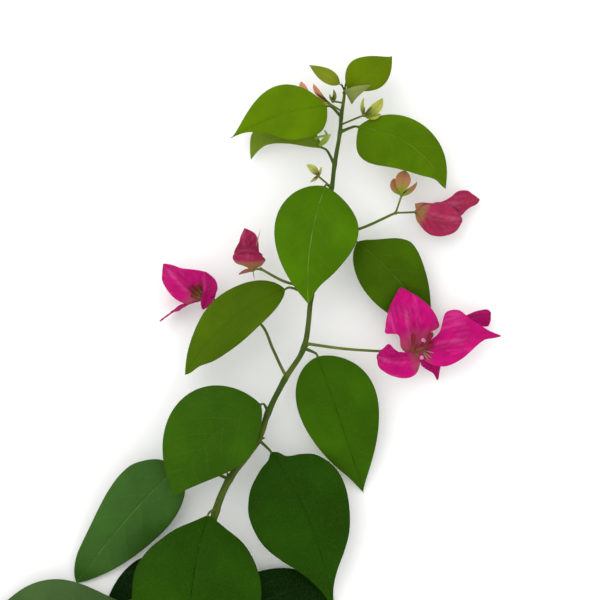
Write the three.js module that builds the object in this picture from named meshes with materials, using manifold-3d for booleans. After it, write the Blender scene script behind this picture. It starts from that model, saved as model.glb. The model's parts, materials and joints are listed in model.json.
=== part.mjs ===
// A cut flowering shoot of a bougainvillea, lying on a level surface.
//
// One woody stem runs from a flat cut to a soft tip. Leaves stand on it one by one, each on its own
// stalk, and clusters of papery bracts hang on thin stalks out of the leaf axils. Every leaf, cluster,
// bud and cluster stalk is a solid of its own, and meets what carries it with a hair of air between.
//
// Millimetres, +Z up. Places are given from the foot of the cut end: +Y runs up the shoot and +X to
// its right, as seen from above. The finished group is then moved so that the origin is the middle of
// the footprint, on the surface that the shoot lies on.

import * as THREE from "three";
import { mergeVertices } from "three/addons/utils/BufferGeometryUtils.js";
import Module from "manifold-3d";

const wasm = await Module();
wasm.setup();

// ---------------------------------------------------------------- driving dimensions

const AIR = 0.3; // clear distance between a piece and what carries it
const UP = new THREE.Vector3(0, 0, 1);

const STEM_SIDES = 10;
const STEM_STEP = 9; // length of one facet ring along the stem
const NODE_SWELL = 0.12; // how much thicker the stem is at a node, as a share
const NODE_REACH = 4; // how far that swelling runs to each side of a node

const LEAF_THICKNESS = 0.0115; // as a share of the blade's length
const THINNEST_LEAF = 0.55;
const BRACT_THICKNESS = 0.6;
const SHORT_LEAF = 40; // below this length a leaf has fewer facets and a thinner stalk
const LEAF_FACETS = { across: 4, along: 12, alongShort: 8 };
const BRACT_FACETS = { across: 4, along: 8 };
const BUD_FACETS = { across: 2, along: 6 };
const EDGE_HALF_WIDTH = 0.3; // a blade's half width at its very tip
const FOOT_HALF_WIDTH = 0.8; // and at its very foot
const DRAW_IN = { at: 0.88, reach: 0.1 }; // where a side draws in before the tip, as shares of the length

const LEAF_STALK = { root: 0.9, neck: 0.7, end: 0.35, sides: 5, steps: 9, rib: 0.55, lead: 0.18 };
const CLUSTER_STALK = { root: 0.75, end: 0.6, knob: 1.1, sides: 5, steps: 6 };
const FLOWER_STALK = { root: 0.5, end: 0.6, sag: 0.06, sides: 5, steps: 4 };
const HEART_RADIUS = 1.7; // the knot where a cluster's bracts and flowers meet
const BUD_HEART_RADIUS = 1.0;
const FLOWER_TUBE = { foot: 0.7, waist: 0.95, throat: 1.25, sides: 5 };

// Stem nodes from the cut end to the growing tip: [x, y, height of the axis, diameter].
const STEM_NODES = [
  [0, 0, 2.6, 4.8],
  [8, 37, 5, 4.7],
  [14.5, 62.5, 8, 4.5],
  [18.5, 83.5, 10.5, 4.3],
  [24, 110, 13.5, 4.1],
  [31.5, 128, 15.5, 3.9],
  [47.5, 150, 17.5, 3.5],
  [53, 165, 18.5, 3.3],
  [62, 183, 19.5, 3],
  [72.4, 200.3, 20.5, 2.9],
  [76.6, 229, 21.5, 2.7],
  [82, 258, 22, 2.5],
  [87.8, 288, 22, 2.4],
  [89.3, 300.5, 22, 2.3],
  [92.3, 318.5, 21.5, 2.1],
  [93, 327, 21, 2],
  [95, 341, 20, 1.6],
  [95, 344, 19.5, 0.9],
];

// Leaves in order up the stem. The midrib runs from base through middle to tip. Each side of the blade,
// left and right of the midrib, has its own outline: its greatest width, how far along that lies, how
// drawn out the tip is, and how much the side draws in before the tip; both stands for two equal sides.
// Roll turns the upper face towards the right side, fold lifts the two halves to a V, and curl is how
// far the margins drop, in millimetres.
const LEAF = { roll: 0, fold: 6, curl: 3, wave: 0.8, phase: 0, claw: 0 };
const LEAVES = [
  { name: "leaf_foot_left", node: 1, base: [-26, 60, 11], middle: [-69, 53.5, 14], tip: [-113, 40.5, 0.8],
    both: [18.7, 0.46, 1.8], curl: 4 },
  { name: "leaf_foot_right", node: 2, base: [24, 64.5, 6], middle: [58, 55, 5], tip: [93, 38, 0.6],
    left: [24.4, 0.55, 0.9], right: [21.3, 0.44, 0.8], curl: 3, fold: 4 },
  { name: "leaf_foot_under", node: 3, base: [11, 80.5, 4.5], middle: [-17.5, 53.5, 3], tip: [-42.5, 24, 0.6],
    left: [23.5, 0.37, 1.15], right: [22.8, 0.37, 1.15], curl: 4, fold: 4 },
  { name: "leaf_low_front", node: 4.1, base: [20, 108.5, 20.5], middle: [11, 60.5, 34], tip: [14, 10.5, 20],
    left: [38, 0.36, 1.4], right: [32.6, 0.4, 1.5], curl: 9, fold: 7 },
  { name: "leaf_low_left", node: 5, base: [3, 134.5, 15], middle: [-23.5, 107.5, 13], tip: [-54, 69.5, 0.6],
    left: [20.2, 0.36, 0.8], right: [18.6, 0.28, 0.8], roll: -8, curl: 4 },
  { name: "leaf_low_right", node: 6, base: [54.5, 143, 17], middle: [76.5, 103, 19], tip: [88.6, 56.4, 9],
    left: [26.2, 0.35, 1.9], right: [30.2, 0.36, 1.5], curl: 5 },
  { name: "leaf_waist_left", node: 7, base: [49, 169.5, 24], middle: [19, 149.2, 30], tip: [1.4, 119, 20],
    left: [22.5, 0.39, 1.1], right: [26, 0.41, 1.3], curl: 5 },
  { name: "leaf_waist_right", node: 9, base: [80, 195.5, 20], middle: [93, 158.8, 19], tip: [105.6, 119.5, 0.6],
    left: [23.8, 0.33, 1.3], right: [20.2, 0.32, 1.15, 0.15], curl: 4 },
  { name: "leaf_middle_left", node: 10, base: [62, 232.5, 26], middle: [31.5, 214.5, 30], tip: [7.1, 185.5, 13],
    left: [13.4, 0.44, 0.85, 0.3], right: [15.3, 0.39, 1.05], roll: 20, curl: 2 },
  { name: "leaf_middle_right", node: 11, base: [101.8, 258.3, 17], middle: [124.8, 237, 16], tip: [144, 209.5, 0.6],
    left: [19, 0.37, 2], right: [18.1, 0.41, 0.8, 0.2], curl: 3 },
  { name: "leaf_middle_front", node: 12, base: [84, 288.3, 28], middle: [75.9, 256, 37], tip: [75, 224, 29],
    left: [24.8, 0.36, 1.2, 0.25], right: [20.9, 0.37, 1.2], curl: 4 },
  { name: "leaf_high_under", node: 13, base: [82.5, 310.5, 15], middle: [60, 315.6, 13], tip: [43.3, 304.8, 6],
    left: [3.4, 0.32, 1.4], right: [11.5, 0.66, 0.7], roll: 12, curl: 1, wave: 0.4 },
  { name: "leaf_high_right", node: 14, base: [102.3, 321.3, 22], middle: [131.5, 310.5, 24], tip: [151, 288, 8],
    left: [13.2, 0.44, 1.17], right: [18.3, 0.2, 1, 0.4], curl: 3 },
  { name: "leaf_high_left", node: 15, base: [85, 332.2, 26], middle: [59.2, 327, 29], tip: [32.2, 315.6, 16],
    left: [16.2, 0.2, 1.65, 0.4], right: [15.9, 0.4, 1.7], curl: 3 },
  { name: "leaf_top_left", node: 16, base: [92, 345, 21], middle: [84, 350, 22], tip: [75.5, 355.5, 18],
    both: [4.5, 0.37, 1.15], roll: 25, curl: 0.5, wave: 0 },
  { name: "leaf_top_right", node: 16, base: [96.3, 341.5, 22], middle: [108.3, 350.8, 23], tip: [121, 360.6, 16],
    left: [10.8, 0.36, 1.5], right: [10.2, 0.5, 1.12], curl: 1.5, wave: 0.3 },
  { name: "leaf_top_under", node: 15.7, base: [94.9, 340.4, 26], middle: [102, 342, 28.5], tip: [109, 343.7, 26],
    left: [1.2, 0.4, 1], right: [10, 0.1, 1.3], roll: 10, fold: -15, curl: 0, wave: 0 },
];

// Cluster stalks: from a stem node through the given points. The last point is a knob that carries
// one or more clusters.
const STALKS = [
  { name: "stalk_right", node: 9.1, through: [[95, 199.8, 19], [115, 198.4, 16]] },
  { name: "stalk_left", node: 8.1, through: [[61, 188, 18], [55.4, 199.8, 15], [49, 213, 12], [27, 226, 9]] },
  { name: "stalk_middle_left", node: 10.2, through: [[64, 236, 21], [49, 243.5, 23]] },
  { name: "stalk_middle_right", node: 11.15, through: [[101, 265, 20], [123, 274.5, 16]] },
];

// Bract clusters in flower. Heart is where bracts and flowers meet. A bract's midrib runs from the
// heart through middle to tip, with a narrow claw at its foot; a flower is a closed tube that reaches
// as far from the heart as its row says.
const BRACT = { claw: 0.14, roll: 0, fold: 10, curl: 0, wave: 1, phase: 0 };
const CLUSTERS = [
  {
    name: "cluster_right", stalk: "stalk_right", heart: [136, 196.5, 13],
    bracts: [
      { middle: [131, 215, 15], tip: [125.5, 233.5, 20], both: [14.4, 0.28, 0.95], claw: 0.24 },
      { middle: [123, 194.5, 17], tip: [112.5, 196.5, 27], left: [11.8, 0.33, 0.6], right: [6, 0.65, 0.7], roll: -10 },
      { middle: [158, 203.5, 15], tip: [181, 206.5, 10], left: [17, 0.38, 1.5], right: [11.3, 0.33, 1.6], roll: 5 },
    ],
    flowers: [[-3.6, 12, 9], [6.6, 12.5, 11], [7.8, 6.5, 6]],
  },
  {
    name: "cluster_left", stalk: "stalk_left", heart: [16.5, 228, 12],
    bracts: [
      { middle: [5.5, 236, 14.5], tip: [-5, 246.5, 10], left: [9.3, 0.45, 0.9], right: [12, 0.27, 1.4], fold: 15 },
      { middle: [20.6, 233.2, 18], tip: [18.2, 241.8, 24], left: [4, 0.55, 0.8], right: [5, 0.5, 0.8], fold: 15,
        roll: 10 },
      { middle: [6, 223, 6], tip: [-7, 214.5, 2], both: [8, 0.4, 0.95], roll: 80 },
    ],
    flowers: [[-7.1, 5.8, 5], [-8, 2, 4], [-2.9, 6.6, 7]],
  },
  {
    name: "cluster_middle_left", stalk: "stalk_middle_left", heart: [45, 243.5, 23],
    bracts: [
      { middle: [42.5, 255, 20.5], tip: [40.2, 265.8, 21], left: [8.8, 0.45, 1], right: [5.8, 0.6, 0.7], fold: 15,
        claw: 0.04 },
      { middle: [44.6, 249.3, 27.5], tip: [44, 254.8, 28.5], left: [11, 0.6, 0.35], right: [7, 0.4, 0.8], fold: -12,
        claw: 0.04 },
      { middle: [47.8, 246.6, 25], tip: [50, 249.5, 24], both: [2.6, 0.5, 0.8], claw: 0.04 },
    ],
    flowers: [[-2, 10, 2], [1, 9, 3], [-3.6, 8, 1]],
  },
  {
    name: "cluster_middle_right", stalk: "stalk_middle_right", heart: [134.5, 275, 14],
    bracts: [
      { middle: [147, 270.3, 17], tip: [159.8, 271, 13], left: [9, 0.55, 0.55], right: [9.5, 0.48, 0.6], fold: -14,
        roll: 10, claw: 0.02 },
      { middle: [152, 278, 10], tip: [169.8, 282.3, 7], left: [7.3, 0.74, 0.75], right: [6.6, 0.5, 1.1], fold: -8,
        claw: 0.02 },
      { middle: [147, 273, 5], tip: [160, 272, 3], both: [9, 0.5, 0.8], fold: 15, roll: 10, claw: 0.02 },
    ],
    flowers: [[12.5, 1, 0], [12.1, 3.6, -1.4], [12.1, -1.6, -3]],
  },
];

// Clusters still in bud: small bracts round a heart. A bract's row is its reach from the heart and its
// greatest half width.
const BUD_BRACT = { belly: 0.4, point: 0.9, bow: 0.12 };
const BUDS = [
  { name: "bud_middle_right", stalk: "stalk_middle_right", heart: [126.3, 284.2, 14],
    bracts: [[1.9, 13.6, 2, 4.3], [8.6, 7.6, -1, 1.5], [-4, 9.5, -2, 3]] },
  { name: "bud_middle_left", node: 12, heart: [80.4, 294.6, 17],
    bracts: [[-6.4, 6.1, 1, 2.1], [1.6, 5, 1, 0.8], [-4.4, -3.2, -1, 1]] },
  { name: "bud_high_right", node: 14.45, heart: [105, 327.2, 26],
    bracts: [[0.3, 9.5, 1, 1.1], [10.3, 9.4, 1, 2.9], [9.5, 0.8, 0, 2]] },
  { name: "bud_high_left", node: 15.2, heart: [86.2, 334.6, 18],
    bracts: [[-15.3, 12.4, -1, 2.6], [-8, 10.8, -1, 2.2], [-6, 3.5, -2, 2.6]] },
  { name: "bud_top_left", node: 15.5, heart: [88.5, 336, 14],
    bracts: [[0.3, 6.4, 0, 1.1], [-1.6, 4, 0, 0.7], [1.6, 3.6, 0, 0.7]] },
];

// ---------------------------------------------------------------- solids

const vector = (place) => new THREE.Vector3(...place);

/** A closed geometry as a solid that can be joined and cut. */
function solidOf(geometry) {
  geometry.deleteAttribute("normal");
  geometry.deleteAttribute("uv");
  const merged = mergeVertices(geometry, 1e-4);
  return new wasm.Manifold(
    new wasm.Mesh({
      numProp: 3,
      vertProperties: merged.attributes.position.array,
      triVerts: new Uint32Array(merged.index.array),
    }),
  );
}

/** A solid as a geometry, without the loose scraps that a cut may leave. */
function geometryOf(solid) {
  const largest = solid.decompose().reduce((a, b) => (b.volume() > a.volume() ? b : a));
  const mesh = largest.getMesh();
  const geometry = new THREE.BufferGeometry();
  geometry.setAttribute("position", new THREE.BufferAttribute(mesh.vertProperties, 3));
  geometry.setIndex(new THREE.BufferAttribute(mesh.triVerts, 1));
  return geometry;
}

/** Joins several solids into one. */
const joined = (solids) => solids.reduce((a, b) => a.add(b));

/** Moves each vertex of a geometry to where place(x, y, z) puts it. */
function reshaped(geometry, place) {
  const at = geometry.attributes.position;
  for (let i = 0; i < at.count; i++) at.setXYZ(i, ...place(at.getX(i), at.getY(i), at.getZ(i)));
  return geometry;
}

/** A round limb along a curve, whose radius depends on the share of its length. */
function limb(curve, radiusAt, sides, steps) {
  const frames = curve.computeFrenetFrames(steps);
  return solidOf(
    reshaped(new THREE.CylinderGeometry(1, 1, 1, sides, steps), (x, y, z) => {
      const share = y + 0.5;
      const ring = Math.round(share * steps);
      const radius = radiusAt(share);
      return curve
        .getPointAt(share)
        .addScaledVector(frames.normals[ring], x * radius)
        .addScaledVector(frames.binormals[ring], -z * radius);
    }),
  );
}

const curveThrough = (points) => new THREE.CatmullRomCurve3(points, false, "centripetal");

/** The midrib of a blade: one arc from base to tip that passes its middle point halfway. */
function midrib({ base, middle, tip }) {
  const [a, m, b] = [base, middle, tip].map(vector);
  const pull = m.multiplyScalar(2).addScaledVector(a, -0.5).addScaledVector(b, -0.5);
  return new THREE.QuadraticBezierCurve3(a, pull, b);
}

/** Half width of a blade at a share of its length, as a share of its greatest half width. */
function outline(share, belly, point, drawIn = 0) {
  const rise = (point * belly) / (1 - belly);
  const peak = belly ** rise * (1 - belly) ** point;
  const narrowing = drawIn * Math.exp(-(((share - DRAW_IN.at) / DRAW_IN.reach) ** 2));
  return ((share ** rise * (1 - share) ** point) / peak) * (1 - narrowing);
}

/** A leaf blade or bract: a slab bent along its midrib, cut to its outline, folded and curled. */
function blade(spec, thickness, { across, along }) {
  const rib = midrib(spec);
  const chord = vector(spec.tip).sub(vector(spec.base)).normalize();
  const facing = UP.clone().applyAxisAngle(chord, THREE.MathUtils.degToRad(spec.roll));
  const fold = THREE.MathUtils.degToRad(spec.fold);
  const { left, right: rightSide } = { left: spec.both, right: spec.both, ...spec };
  const halfSpan = Math.max(left[0], rightSide[0]);
  const slab = new THREE.BoxGeometry(2, 1, 1, across, along, 1);
  return solidOf(
    reshaped(slab, (side, y, z) => {
      const share = (1 - Math.cos(Math.PI * (y + 0.5))) / 2;
      const ahead = rib.getTangentAt(share);
      const normal = facing.clone().addScaledVector(ahead, -facing.dot(ahead)).normalize();
      const right = ahead.clone().cross(normal);
      const beyondClaw = Math.max(0, (share - spec.claw) / (1 - spec.claw));
      const least = THREE.MathUtils.lerp(FOOT_HALF_WIDTH, EDGE_HALF_WIDTH, share);
      const [widest, ...shape] = side < 0 ? left : rightSide;
      const out = side * Math.max(least, widest * outline(beyondClaw, ...shape));
      const margin = (out / halfSpan) ** 2;
      const ripple = Math.sin(2 * Math.PI * (2 * share + spec.phase + side / 4));
      const lift = Math.abs(out) * Math.sin(fold) + margin * (spec.wave * ripple - spec.curl);
      const place = rib
        .getPointAt(share)
        .addScaledVector(right, out * Math.cos(fold))
        .addScaledVector(normal, lift);
      const face = normal.multiplyScalar(Math.cos(fold)).addScaledVector(right, -Math.sin(fold) * Math.sign(side));
      place.addScaledVector(face.normalize(), z * thickness);
      place.z = Math.max(place.z, z > 0 ? thickness : 0);
      return place;
    }),
  );
}

/** A sphere of few faces about a point. */
function knot(centre, radius) {
  const ball = new THREE.SphereGeometry(radius, 6, 4);
  return solidOf(ball.translate(centre.x, centre.y, centre.z));
}

/** A closed flower tube that stands on a heart and reaches as far from it as given. */
function flowerTube(heart, reach) {
  const { foot, waist, throat, sides } = FLOWER_TUBE;
  const length = reach.length();
  const profile = [
    [0, 0],
    [foot, 0],
    [waist, 0.35 * length],
    [0.8 * waist, 0.6 * length],
    [throat, 0.85 * length],
    [0.5 * throat, length],
    [0, 1.02 * length],
  ].map(([radius, height]) => new THREE.Vector2(radius, height));
  const turned = new THREE.LatheGeometry(profile, sides);
  const turn = new THREE.Quaternion().setFromUnitVectors(new THREE.Vector3(0, 1, 0), reach.clone().normalize());
  return solidOf(turned.applyQuaternion(turn).translate(heart.x, heart.y, heart.z));
}

// ---------------------------------------------------------------- stem

const stemCurve = curveThrough(STEM_NODES.map(([x, y, z]) => new THREE.Vector3(x, y, z)));
const stemLength = stemCurve.getLength();
const stemSteps = Math.round(stemLength / STEM_STEP);

/** Share of the stem's length at which each node lies, by the straight lines between the nodes. */
const nodeShares = (() => {
  const reached = [0];
  for (let i = 1; i < STEM_NODES.length; i++) {
    const [a, b] = [STEM_NODES[i - 1], STEM_NODES[i]].map(([x, y, z]) => new THREE.Vector3(x, y, z));
    reached.push(reached[i - 1] + a.distanceTo(b));
  }
  return reached.map((length) => length / reached.at(-1));
})();

/** Radius of the stem at a share of its length: a steady taper, a little thicker at each node. */
function stemRadius(share) {
  const above = Math.max(1, nodeShares.findIndex((at) => at >= share - 1e-6));
  const [from, to] = [nodeShares[above - 1], nodeShares[above]];
  const between = THREE.MathUtils.clamp((share - from) / (to - from), 0, 1);
  const plain = THREE.MathUtils.lerp(STEM_NODES[above - 1][3], STEM_NODES[above][3], between) / 2;
  const nearest = Math.min(...nodeShares.slice(1, -2).map((at) => Math.abs(at - share))) * stemLength;
  return plain * (1 + NODE_SWELL * Math.max(0, 1 - nearest / NODE_REACH));
}

const stemSolid = limb(stemCurve, stemRadius, STEM_SIDES, stemSteps);
const stemClearance = limb(stemCurve, (share) => stemRadius(share) + AIR, STEM_SIDES, stemSteps);
const stemPoint = (node) => stemCurve.getPoint(node / (STEM_NODES.length - 1));

// ---------------------------------------------------------------- leaves

/** One leaf: its blade, and a stalk that runs on under the blade as its rib, cut clear of the stem. */
function leafSolid(row) {
  const spec = { ...LEAF, ...row };
  const rib = midrib(spec);
  const length = rib.getLength();
  const thickness = Math.max(THINNEST_LEAF, LEAF_THICKNESS * length);
  const { root, neck, end, sides, steps, rib: ribShare } = LEAF_STALK;
  const start = stemPoint(spec.node);
  const base = rib.getPointAt(0);
  const back = rib.getTangentAt(0).multiplyScalar(-LEAF_STALK.lead * start.distanceTo(base));
  const path = curveThrough([
    start,
    base.clone().add(back),
    base,
    rib.getPointAt(ribShare / 2),
    rib.getPointAt(ribShare),
  ]);
  const neckShare = start.distanceTo(base) / path.getLength();
  const slim = Math.min(1, length / SHORT_LEAF);
  const radiusAt = (share) =>
    slim *
    (share < neckShare
      ? THREE.MathUtils.lerp(root, neck, share / neckShare)
      : THREE.MathUtils.lerp(neck, end, (share - neckShare) / (1 - neckShare)));
  const along = length > SHORT_LEAF ? LEAF_FACETS.along : LEAF_FACETS.alongShort;
  return blade(spec, thickness, { across: LEAF_FACETS.across, along })
    .add(limb(path, radiusAt, sides, steps))
    .subtract(stemClearance);
}

// ---------------------------------------------------------------- clusters, buds and their stalks

/** The curve and the knob of each cluster stalk, by name. */
const stalks = Object.fromEntries(
  STALKS.map(({ name, node, through }) => {
    const curve = curveThrough([stemPoint(node), ...through.map(vector)]);
    return [name, { curve, knob: vector(through.at(-1)) }];
  }),
);

/** A cluster stalk with its knob, swollen by extra all round. */
function stalkSolid({ curve, knob }, extra = 0) {
  const { root, end, knob: knobRadius, sides, steps } = CLUSTER_STALK;
  const radiusAt = (share) => THREE.MathUtils.lerp(root, end, share) + extra;
  return limb(curve, radiusAt, sides, steps).add(knot(knob, knobRadius + extra));
}

/** The short stalk from a knob or a stem node to a heart. */
function flowerStalk(start, heart) {
  const { root, end, sag, sides, steps } = FLOWER_STALK;
  const lowest = start.clone().lerp(heart, 0.5).addScaledVector(UP, -sag * start.distanceTo(heart));
  return limb(curveThrough([start, lowest, heart]), (s) => THREE.MathUtils.lerp(root, end, s), sides, steps);
}

/** A cluster in flower: heart, stalk, three bracts and three closed flowers. */
function clusterSolid({ stalk, heart: place, bracts, flowers }) {
  const heart = vector(place);
  const blades = bracts.map((row) => blade({ ...BRACT, ...row, base: place }, BRACT_THICKNESS, BRACT_FACETS));
  const tubes = flowers.map((reach) => flowerTube(heart, vector(reach)));
  return joined([knot(heart, HEART_RADIUS), flowerStalk(stalks[stalk].knob, heart), ...blades, ...tubes]).subtract(
    stalkSolid(stalks[stalk], AIR),
  );
}

/** A cluster in bud: a heart with small bracts that bow outwards from their common direction. */
function budSolid({ stalk, node, heart: place, bracts }) {
  const heart = vector(place);
  const start = stalk ? stalks[stalk].knob : stemPoint(node);
  const { belly, point, bow } = BUD_BRACT;
  const reaches = bracts.map((row) => vector(row.slice(0, 3)));
  const common = reaches.reduce((sum, reach) => sum.add(reach.clone().normalize()), new THREE.Vector3()).normalize();
  const blades = reaches.map((reach, i) => {
    const outward = reach.clone().addScaledVector(common, -reach.dot(common)).normalize();
    const middle = heart.clone().addScaledVector(reach, 0.5).addScaledVector(outward, bow * reach.length());
    const tip = heart.clone().add(reach);
    const both = [bracts[i][3], belly, point];
    const spec = { ...BRACT, base: place, middle: middle.toArray(), tip: tip.toArray(), both, wave: 0 };
    return blade(spec, BRACT_THICKNESS, BUD_FACETS);
  });
  const clearance = stalk ? stalkSolid(stalks[stalk], AIR) : stemClearance;
  return joined([knot(heart, BUD_HEART_RADIUS), flowerStalk(start, heart), ...blades]).subtract(clearance);
}

// ---------------------------------------------------------------- materials and assembly

const finish = (colour, roughness) => new THREE.MeshStandardMaterial({ color: colour, roughness, metalness: 0 });
const MATERIALS = {
  bark: finish(0x5c6b26, 0.7),
  leafYoung: finish(0x6b8f12, 0.5),
  leafGrown: finish(0x3f6d0c, 0.45),
  leafOld: finish(0x234d12, 0.4),
  bractBright: finish(0xc8207f, 0.6),
  bractDusty: finish(0xb23a5f, 0.65),
  budGreen: finish(0xa3a83c, 0.65),
};
const LEAF_AGE = [
  { upToNode: 7, material: MATERIALS.leafOld },
  { upToNode: 12, material: MATERIALS.leafGrown },
  { upToNode: 17, material: MATERIALS.leafYoung },
];

const shoot = new THREE.Group();
function addPiece(name, solid, material) {
  const mesh = new THREE.Mesh(geometryOf(solid), material);
  mesh.name = name;
  shoot.add(mesh);
}

addPiece("main_stem", stemSolid, MATERIALS.bark);
for (const row of LEAVES) {
  const age = LEAF_AGE.find(({ upToNode }) => row.node <= upToNode);
  addPiece(row.name, leafSolid(row), age.material);
}
for (const { name } of STALKS) {
  addPiece(name, stalkSolid(stalks[name]).subtract(stemClearance), MATERIALS.bark);
}
for (const row of CLUSTERS) {
  const bright = row.name === "cluster_right" || row.name === "cluster_left";
  addPiece(row.name, clusterSolid(row), bright ? MATERIALS.bractBright : MATERIALS.bractDusty);
}
for (const row of BUDS) addPiece(row.name, budSolid(row), MATERIALS.budGreen);

const footprint = new THREE.Box3().setFromObject(shoot);
const middle = footprint.getCenter(new THREE.Vector3());
shoot.position.set(-middle.x, -middle.y, -footprint.min.z);

export default shoot;
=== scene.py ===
"""Looks of a cut flowering shoot of bougainvillea, lying on a pale floor.

Every leaf, bract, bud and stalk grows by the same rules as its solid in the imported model: the tables of
places below are in millimetres from the foot of the cut end, +Y up the shoot, and are moved into the
frame's metres at the end. Each piece is a mesh of its own, with veins and folds in its shape and finer
veins in its material.
"""

import json
import math

import bpy
import numpy as np
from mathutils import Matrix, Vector


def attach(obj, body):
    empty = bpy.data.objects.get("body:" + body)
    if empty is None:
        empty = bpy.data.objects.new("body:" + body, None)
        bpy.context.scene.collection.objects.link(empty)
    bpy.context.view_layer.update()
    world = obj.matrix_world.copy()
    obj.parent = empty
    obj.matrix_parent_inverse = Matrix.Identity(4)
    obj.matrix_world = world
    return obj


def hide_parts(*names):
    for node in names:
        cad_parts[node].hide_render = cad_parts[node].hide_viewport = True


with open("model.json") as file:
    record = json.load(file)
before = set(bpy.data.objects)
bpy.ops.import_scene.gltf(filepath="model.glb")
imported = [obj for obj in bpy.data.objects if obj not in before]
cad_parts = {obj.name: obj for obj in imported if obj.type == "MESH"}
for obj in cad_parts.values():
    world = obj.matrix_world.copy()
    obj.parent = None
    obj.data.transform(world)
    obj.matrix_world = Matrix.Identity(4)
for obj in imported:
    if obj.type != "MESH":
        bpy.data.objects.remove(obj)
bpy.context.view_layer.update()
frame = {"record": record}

MM = 0.001
UP = np.array([0.0, 0.0, 1.0])
FOOT_HEIGHT = 2.6  # height of the stem's axis at the cut face


def layout_shift():
    """How far the layout's origin lies from the frame's, in millimetres."""
    mount = next(m for m in frame["record"]["mounts"] if m["name"] == "cut_end")
    return np.array(mount["pos_m"]) / MM - [0.0, 0.0, FOOT_HEIGHT]


SHIFT = layout_shift()

# ---------------------------------------------------------------- the shoot's own sizes, in millimetres

# Stem nodes from the cut end to the growing tip: x, y, height of the axis, diameter.
STEM_NODES = [
    (0, 0, 2.6, 4.8),
    (8, 37, 5, 4.7),
    (14.5, 62.5, 8, 4.5),
    (18.5, 83.5, 10.5, 4.3),
    (24, 110, 13.5, 4.1),
    (31.5, 128, 15.5, 3.9),
    (47.5, 150, 17.5, 3.5),
    (53, 165, 18.5, 3.3),
    (62, 183, 19.5, 3),
    (72.4, 200.3, 20.5, 2.9),
    (76.6, 229, 21.5, 2.7),
    (82, 258, 22, 2.5),
    (87.8, 288, 22, 2.4),
    (89.3, 300.5, 22, 2.3),
    (92.3, 318.5, 21.5, 2.1),
    (93, 327, 21, 2),
    (95, 341, 20, 1.6),
    (95, 344, 19.5, 0.9),
]
NODE_SWELL, NODE_REACH = 0.16, 2.4  # how much thicker the stem is at a node, and how far along
STEM_RIDGES = (0.028, 0.014)  # heights of the five broad and the eleven fine ridges, as shares of the radius
STEM_LUMPS = (0.02, 0.015)  # heights of the coarse and the fine unevenness, likewise
STEM_SIDES, STEM_RING_STEP = 28, 0.8
LIMB_SIDES, LIMB_RING_STEP = 12, 1.2
SPINDLE_MESH, RESTING_MESH, KNOB_MESH, FLOWER_MESH = (10, 14), (10, 9), (14, 13), (20, 36)  # sides and rings

LEAF_SHEET, BRACT_SHEET = 0.45, 0.28  # thickness of a blade
LEAF_STEP, LOBE_STEP, BRACT_STEP, BUD_STEP = 0.95, 0.5, 0.55, 0.35  # between the points of a blade's mesh
LEAST_ROWS, LEAST_COLUMNS = 14, 5  # of a small blade's mesh, the columns to each side
CROWDING = 1.15  # above 1, the columns stand closer together at the midrib
RIM_THINNING = 0.35  # share of its thickness that a blade has lost at its rim
LEAST_HEIGHT = 0.05  # a lower face lies at least this high over the floor
TIP_HALF_WIDTH, FOOT_HALF_WIDTH = 0.15, 0.8  # the least that a side has at its two ends
DRAW_IN_AT, DRAW_IN_REACH = 0.88, 0.1  # where a side draws in before the tip, as shares of the length

# A blade's midrib runs from base through middle to tip. Each side has its own outline, and both stands for
# two equal sides: either the greatest width, how far along that lies, how drawn out the tip is and how much
# the side draws in before it, or a list of pairs of share of the length and width. Fold and roll are in
# degrees; curl and wave are how far the edge sinks and ripples.
# Look is a leaf's colour in soft daylight, from 0 to 255. Rib is how much the midrib shows, paler than the
# blade above 0 and darker below it, and sheen is how much of the sky the blade mirrors.
# A rib below 0 is painted shade in the grooves of the midrib and the side veins.
LEAF = dict(roll=0, fold=6, curl=3.0, wave=0.8, rib=0.04, sheen=0.025, specks=0.0)
LOBE = dict(both=(1.6, 0.45, 0.8), curl=0.2, wave=0.0)  # a small young leaf at a leaf's foot


def leaf(name, node, base, middle, tip, look, **shape):
    """A leaf's row: its name, its place up the stem, the way of its midrib, its colour and its shape."""
    way = {"base": base, "middle": middle, "tip": tip}
    return {**LEAF, "name": name, "node": node, "look": look, **way, **shape}


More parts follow.
